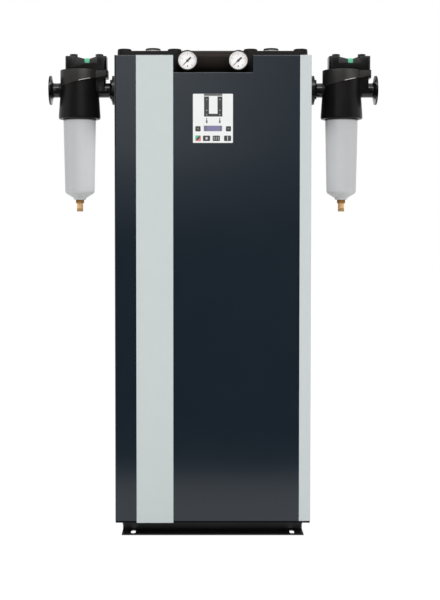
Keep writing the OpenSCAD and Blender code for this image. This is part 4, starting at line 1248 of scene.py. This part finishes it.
@dataclass
class Studio:
    """Floor, light and dark cards, lamps, surroundings and camera."""

    eye: tuple[float, float, float] = (-0.0423, -3.136, 0.7806)
    tilt: float = 2.03
    shift: Span = (0.0396, -0.0455)
    lens: float = 70.605
    sensor: float = 36.0
    sky: float = 0.76
    floor_half: float = 40.0
    floor_drop: float = 0.3 * MM
    floor_white: float = 0.93
    floor_spread: float = 0.01
    floor_glow: float = 1.035
    floor_seen: float = 0.95
    card_y: float = -0.833
    card_half: float = 1.4
    card_top: float = 1.75
    card_tones: tuple[Span, ...] = (
        (0.0, 0.35), (0.03, 0.08), (0.06, 0.0), (0.764, 0.0), (0.865, 0.28),
        (0.965, 0.5), (1.03, 0.95), (1.166, 1.03), (1.27, 1.25),
    )
    card_middle: float = 0.66
    card_fall: float = 1.34
    card_least: float = 0.30
    card_edge: float = 0.42
    card_sharp: float = 12.0
    strip_place: tuple[float, float, float] = (0.0, -1.67, 2.45)
    strip_aim: tuple[float, float, float] = (0.0, 0.0, 1.15)
    strip_half: Span = (1.9, 0.5)
    strip_glow: float = 6.0
    bounce_x: float = 0.262
    bounce_z: float = 0.95
    bounce_half: Span = (0.11, 0.13)
    lamp_aim: tuple[float, float, float] = (0.0, 0.0, 0.75)

    def build(self) -> None:
        """Set up the studio."""
        scene = bpy.context.scene
        scene.view_settings.view_transform = "Standard"
        self._surroundings(scene)
        self._floor()
        self._dark_card()
        self._bounce("bounce_left", -1, 1.3)
        self._bounce("bounce_right", 1, 0.95)
        self._strip()
        self._lamp("key_lamp", (-1.1, -3.5, 0.5), 1.8, 15.0)
        self._lamp("fill_lamp", (1.1, -3.5, 0.5), 1.8, 35.0)
        self._lamp("back_lamp", (0.4, 2.6, 2.6), 2.0, 24.0)
        self._camera(scene)

    def _seen(self, graph: Graph) -> Sock:
        """Return 1 for rays that see the background straight or by reflection."""
        path = graph.add("LightPath")
        camera, glossy, through = (
            Sock(graph, path.outputs[name])
            for name in ("Is Camera Ray", "Is Glossy Ray", "Is Transmission Ray")
        )
        return camera | glossy | through

    def _glow(self, graph: Graph, colour: Any, strength: float) -> Sock:
        """Return the light of a glowing surface."""
        return graph.tap("Emission", None, {"Color": colour, "Strength": strength})

    def _surroundings(self, scene: bpy.types.Scene) -> None:
        """Light the scene softly from all round, with a white background.

        Args:
            scene: The scene.
        """
        world = bpy.data.worlds.new("studio")
        world.use_nodes = True
        scene.world = world
        graph = Graph(world.node_tree)
        soft, white = (
            graph.tap("Background", None, {"Color": WHITE, "Strength": strength})
            for strength in (self.sky, 1.0)
        )
        both = graph.tap("MixShader", None, {0: self._seen(graph), 1: soft, 2: white})
        graph.add("OutputWorld", None, {"Surface": both})

    def _floor(self) -> None:
        """Lay the pale floor, which keeps the object's shadow."""
        mesh = bmesh.new()
        place = Matrix.Translation((0, 0, -self.floor_drop))
        bmesh.ops.create_grid(
            mesh, x_segments=2, y_segments=2, size=self.floor_half, matrix=place
        )
        _, graph = self._stand("floor", mesh)
        cloud = graph.noise(graph.place(), 2.0)
        low = (self.floor_white - self.floor_spread,) * 3
        high = (self.floor_white + self.floor_spread,) * 3
        matt = graph.tap("BsdfDiffuse", None, {"Color": graph.mix(cloud, low, high)})
        white = self._glow(graph, WHITE, self.floor_glow)
        seen = self._seen(graph) * self.floor_seen
        both = graph.tap("MixShader", None, {0: seen, 1: matt, 2: white})
        graph.add("OutputMaterial", None, {"Surface": both})

    def _dark_card(self) -> None:
        """Stand up the dark card that reflections show, toned by its height."""
        turn = Matrix.Rotation(math.radians(90), 4, "X")
        half = self.card_top / 2
        place = Matrix.Translation((0, self.card_y, half)) @ turn
        graph = self._card("card", place, (self.card_half, half), Rays.GLOSSY)
        x, _, z = graph.along(graph.place())
        stops = tuple((up / self.card_top, (tone,) * 3) for up, tone in self.card_tones)
        shade = graph.tap("ValToRGB", {"stops": stops}, {0: z / self.card_top})
        side = (self.card_middle - x * self.card_fall).held() | self.card_least
        fade = (self.card_edge - graph.math("ABSOLUTE", x)) * self.card_sharp
        tone = graph.mix(side * fade.held(), BLACK, shade)
        graph.add("OutputMaterial", None, {"Surface": self._glow(graph, tone, 1.0)})

    def _strip(self) -> None:
        """Hang the bright strip that reflections show."""
        place = Vector(self.strip_place)
        turn = (Vector(self.strip_aim) - place).to_track_quat("Z", "Y").to_matrix()
        place = Matrix.Translation(place) @ turn.to_4x4()
        graph = self._card("strip", place, self.strip_half, Rays.GLOSSY)
        glow = self._glow(graph, WHITE, self.strip_glow)
        graph.add("OutputMaterial", None, {"Surface": glow})

    def _bounce(self, name: str, side: int, strength: float) -> None:
        """Stand a light card between the cabinet and a bowl, for matt surfaces.

        Args:
            name: Name of the card.
            side: 1 for the right-hand bowl, -1 for the left-hand one.
            strength: How bright the card is.
        """
        turn = Matrix.Rotation(math.radians(90 * side), 4, "Y")
        place = Matrix.Translation((side * self.bounce_x, 0, self.bounce_z)) @ turn
        graph = self._card(name, place, self.bounce_half, Rays.DIFFUSE)
        behind = graph.tap("NewGeometry", None, None, "Backfacing")
        glow = self._glow(graph, WHITE, strength)
        clear = graph.tap("BsdfTransparent")
        both = graph.tap("MixShader", None, {0: behind, 1: glow, 2: clear})
        graph.add("OutputMaterial", None, {"Surface": both})

    def _card(self, name: str, place: Matrix, half: Span, rays: Rays) -> Graph:
        """Stand up a plane that only one kind of ray sees.

        Args:
            name: Name of the plane.
            place: Where it goes, from lying flat about the origin.
            half: Half its length along X and Y, in metres.
            rays: The rays that see it.

        Returns:
            The empty graph of its material.
        """
        mesh = bmesh.new()
        place = place @ Matrix.Diagonal((*half, 1.0, 1.0))
        bmesh.ops.create_grid(mesh, x_segments=1, y_segments=1, size=1.0, matrix=place)
        card, graph = self._stand(name, mesh)
        for kind in Rays:
            setattr(card, kind.value, kind is rays)
        return graph

    def _stand(
        self, name: str, mesh: bmesh.types.BMesh
    ) -> tuple[bpy.types.Object, Graph]:
        """Add a piece of the stage.

        Args:
            name: Name of the piece and of its material.
            mesh: The built mesh, which is freed.

        Returns:
            The new object and the empty graph of its material.
        """
        material = bpy.data.materials.new(name)
        material.use_nodes = True
        data = bpy.data.meshes.new(name)
        mesh.to_mesh(data)
        mesh.free()
        data.materials.append(material)
        made = bpy.data.objects.new(name, data)
        bpy.context.scene.collection.objects.link(made)
        LOG.info("staged %s", name)
        return made, Graph(material.node_tree)

    def _lamp(
        self, name: str, place: Sequence[float], size: float, power: float
    ) -> None:
        """Hang a soft square lamp that faces the object.

        Args:
            name: Name of the lamp.
            place: Where it hangs, in metres.
            size: Side of the square, in metres.
            power: Power in watts.
        """
        data = bpy.data.lights.new(name, "AREA")
        data.size = size
        data.energy = power
        lamp = bpy.data.objects.new(name, data)
        lamp.location = place
        aim = Vector(self.lamp_aim) - Vector(place)
        lamp.rotation_euler = aim.to_track_quat("-Z", "Y").to_euler()
        lamp.visible_glossy = False
        bpy.context.scene.collection.objects.link(lamp)
        LOG.info("hung %s", name)

    def _camera(self, scene: bpy.types.Scene) -> None:
        """Place the camera at the photograph's viewing angle.

        Args:
            scene: The scene.
        """
        data = bpy.data.cameras.new("camera")
        data.sensor_width = self.sensor
        data.lens = self.lens
        data.shift_x, data.shift_y = self.shift
        camera = bpy.data.objects.new("camera", data)
        camera.location = self.eye
        camera.rotation_euler = (math.radians(90 - self.tilt), 0, 0)
        scene.collection.objects.link(camera)
        scene.camera = camera
        LOG.info("placed the camera")


def main() -> None:
    """Build the studio and every sub-assembly in order."""
    logging.basicConfig(level=logging.INFO, format="%(name)s: %(message)s")
    assemblies: Iterable[Any] = (
        Studio(), Base(), TopWorks(), Cabinet(), Keypad(), Gauge("left"),
        Gauge("right"), LineFilter("prefilter"), LineFilter("afterfilter"),
    )
    for assembly in assemblies:
        LOG.info("building %s", type(assembly).__name__)
        assembly.build()


if __name__ == "__main__":
    main()
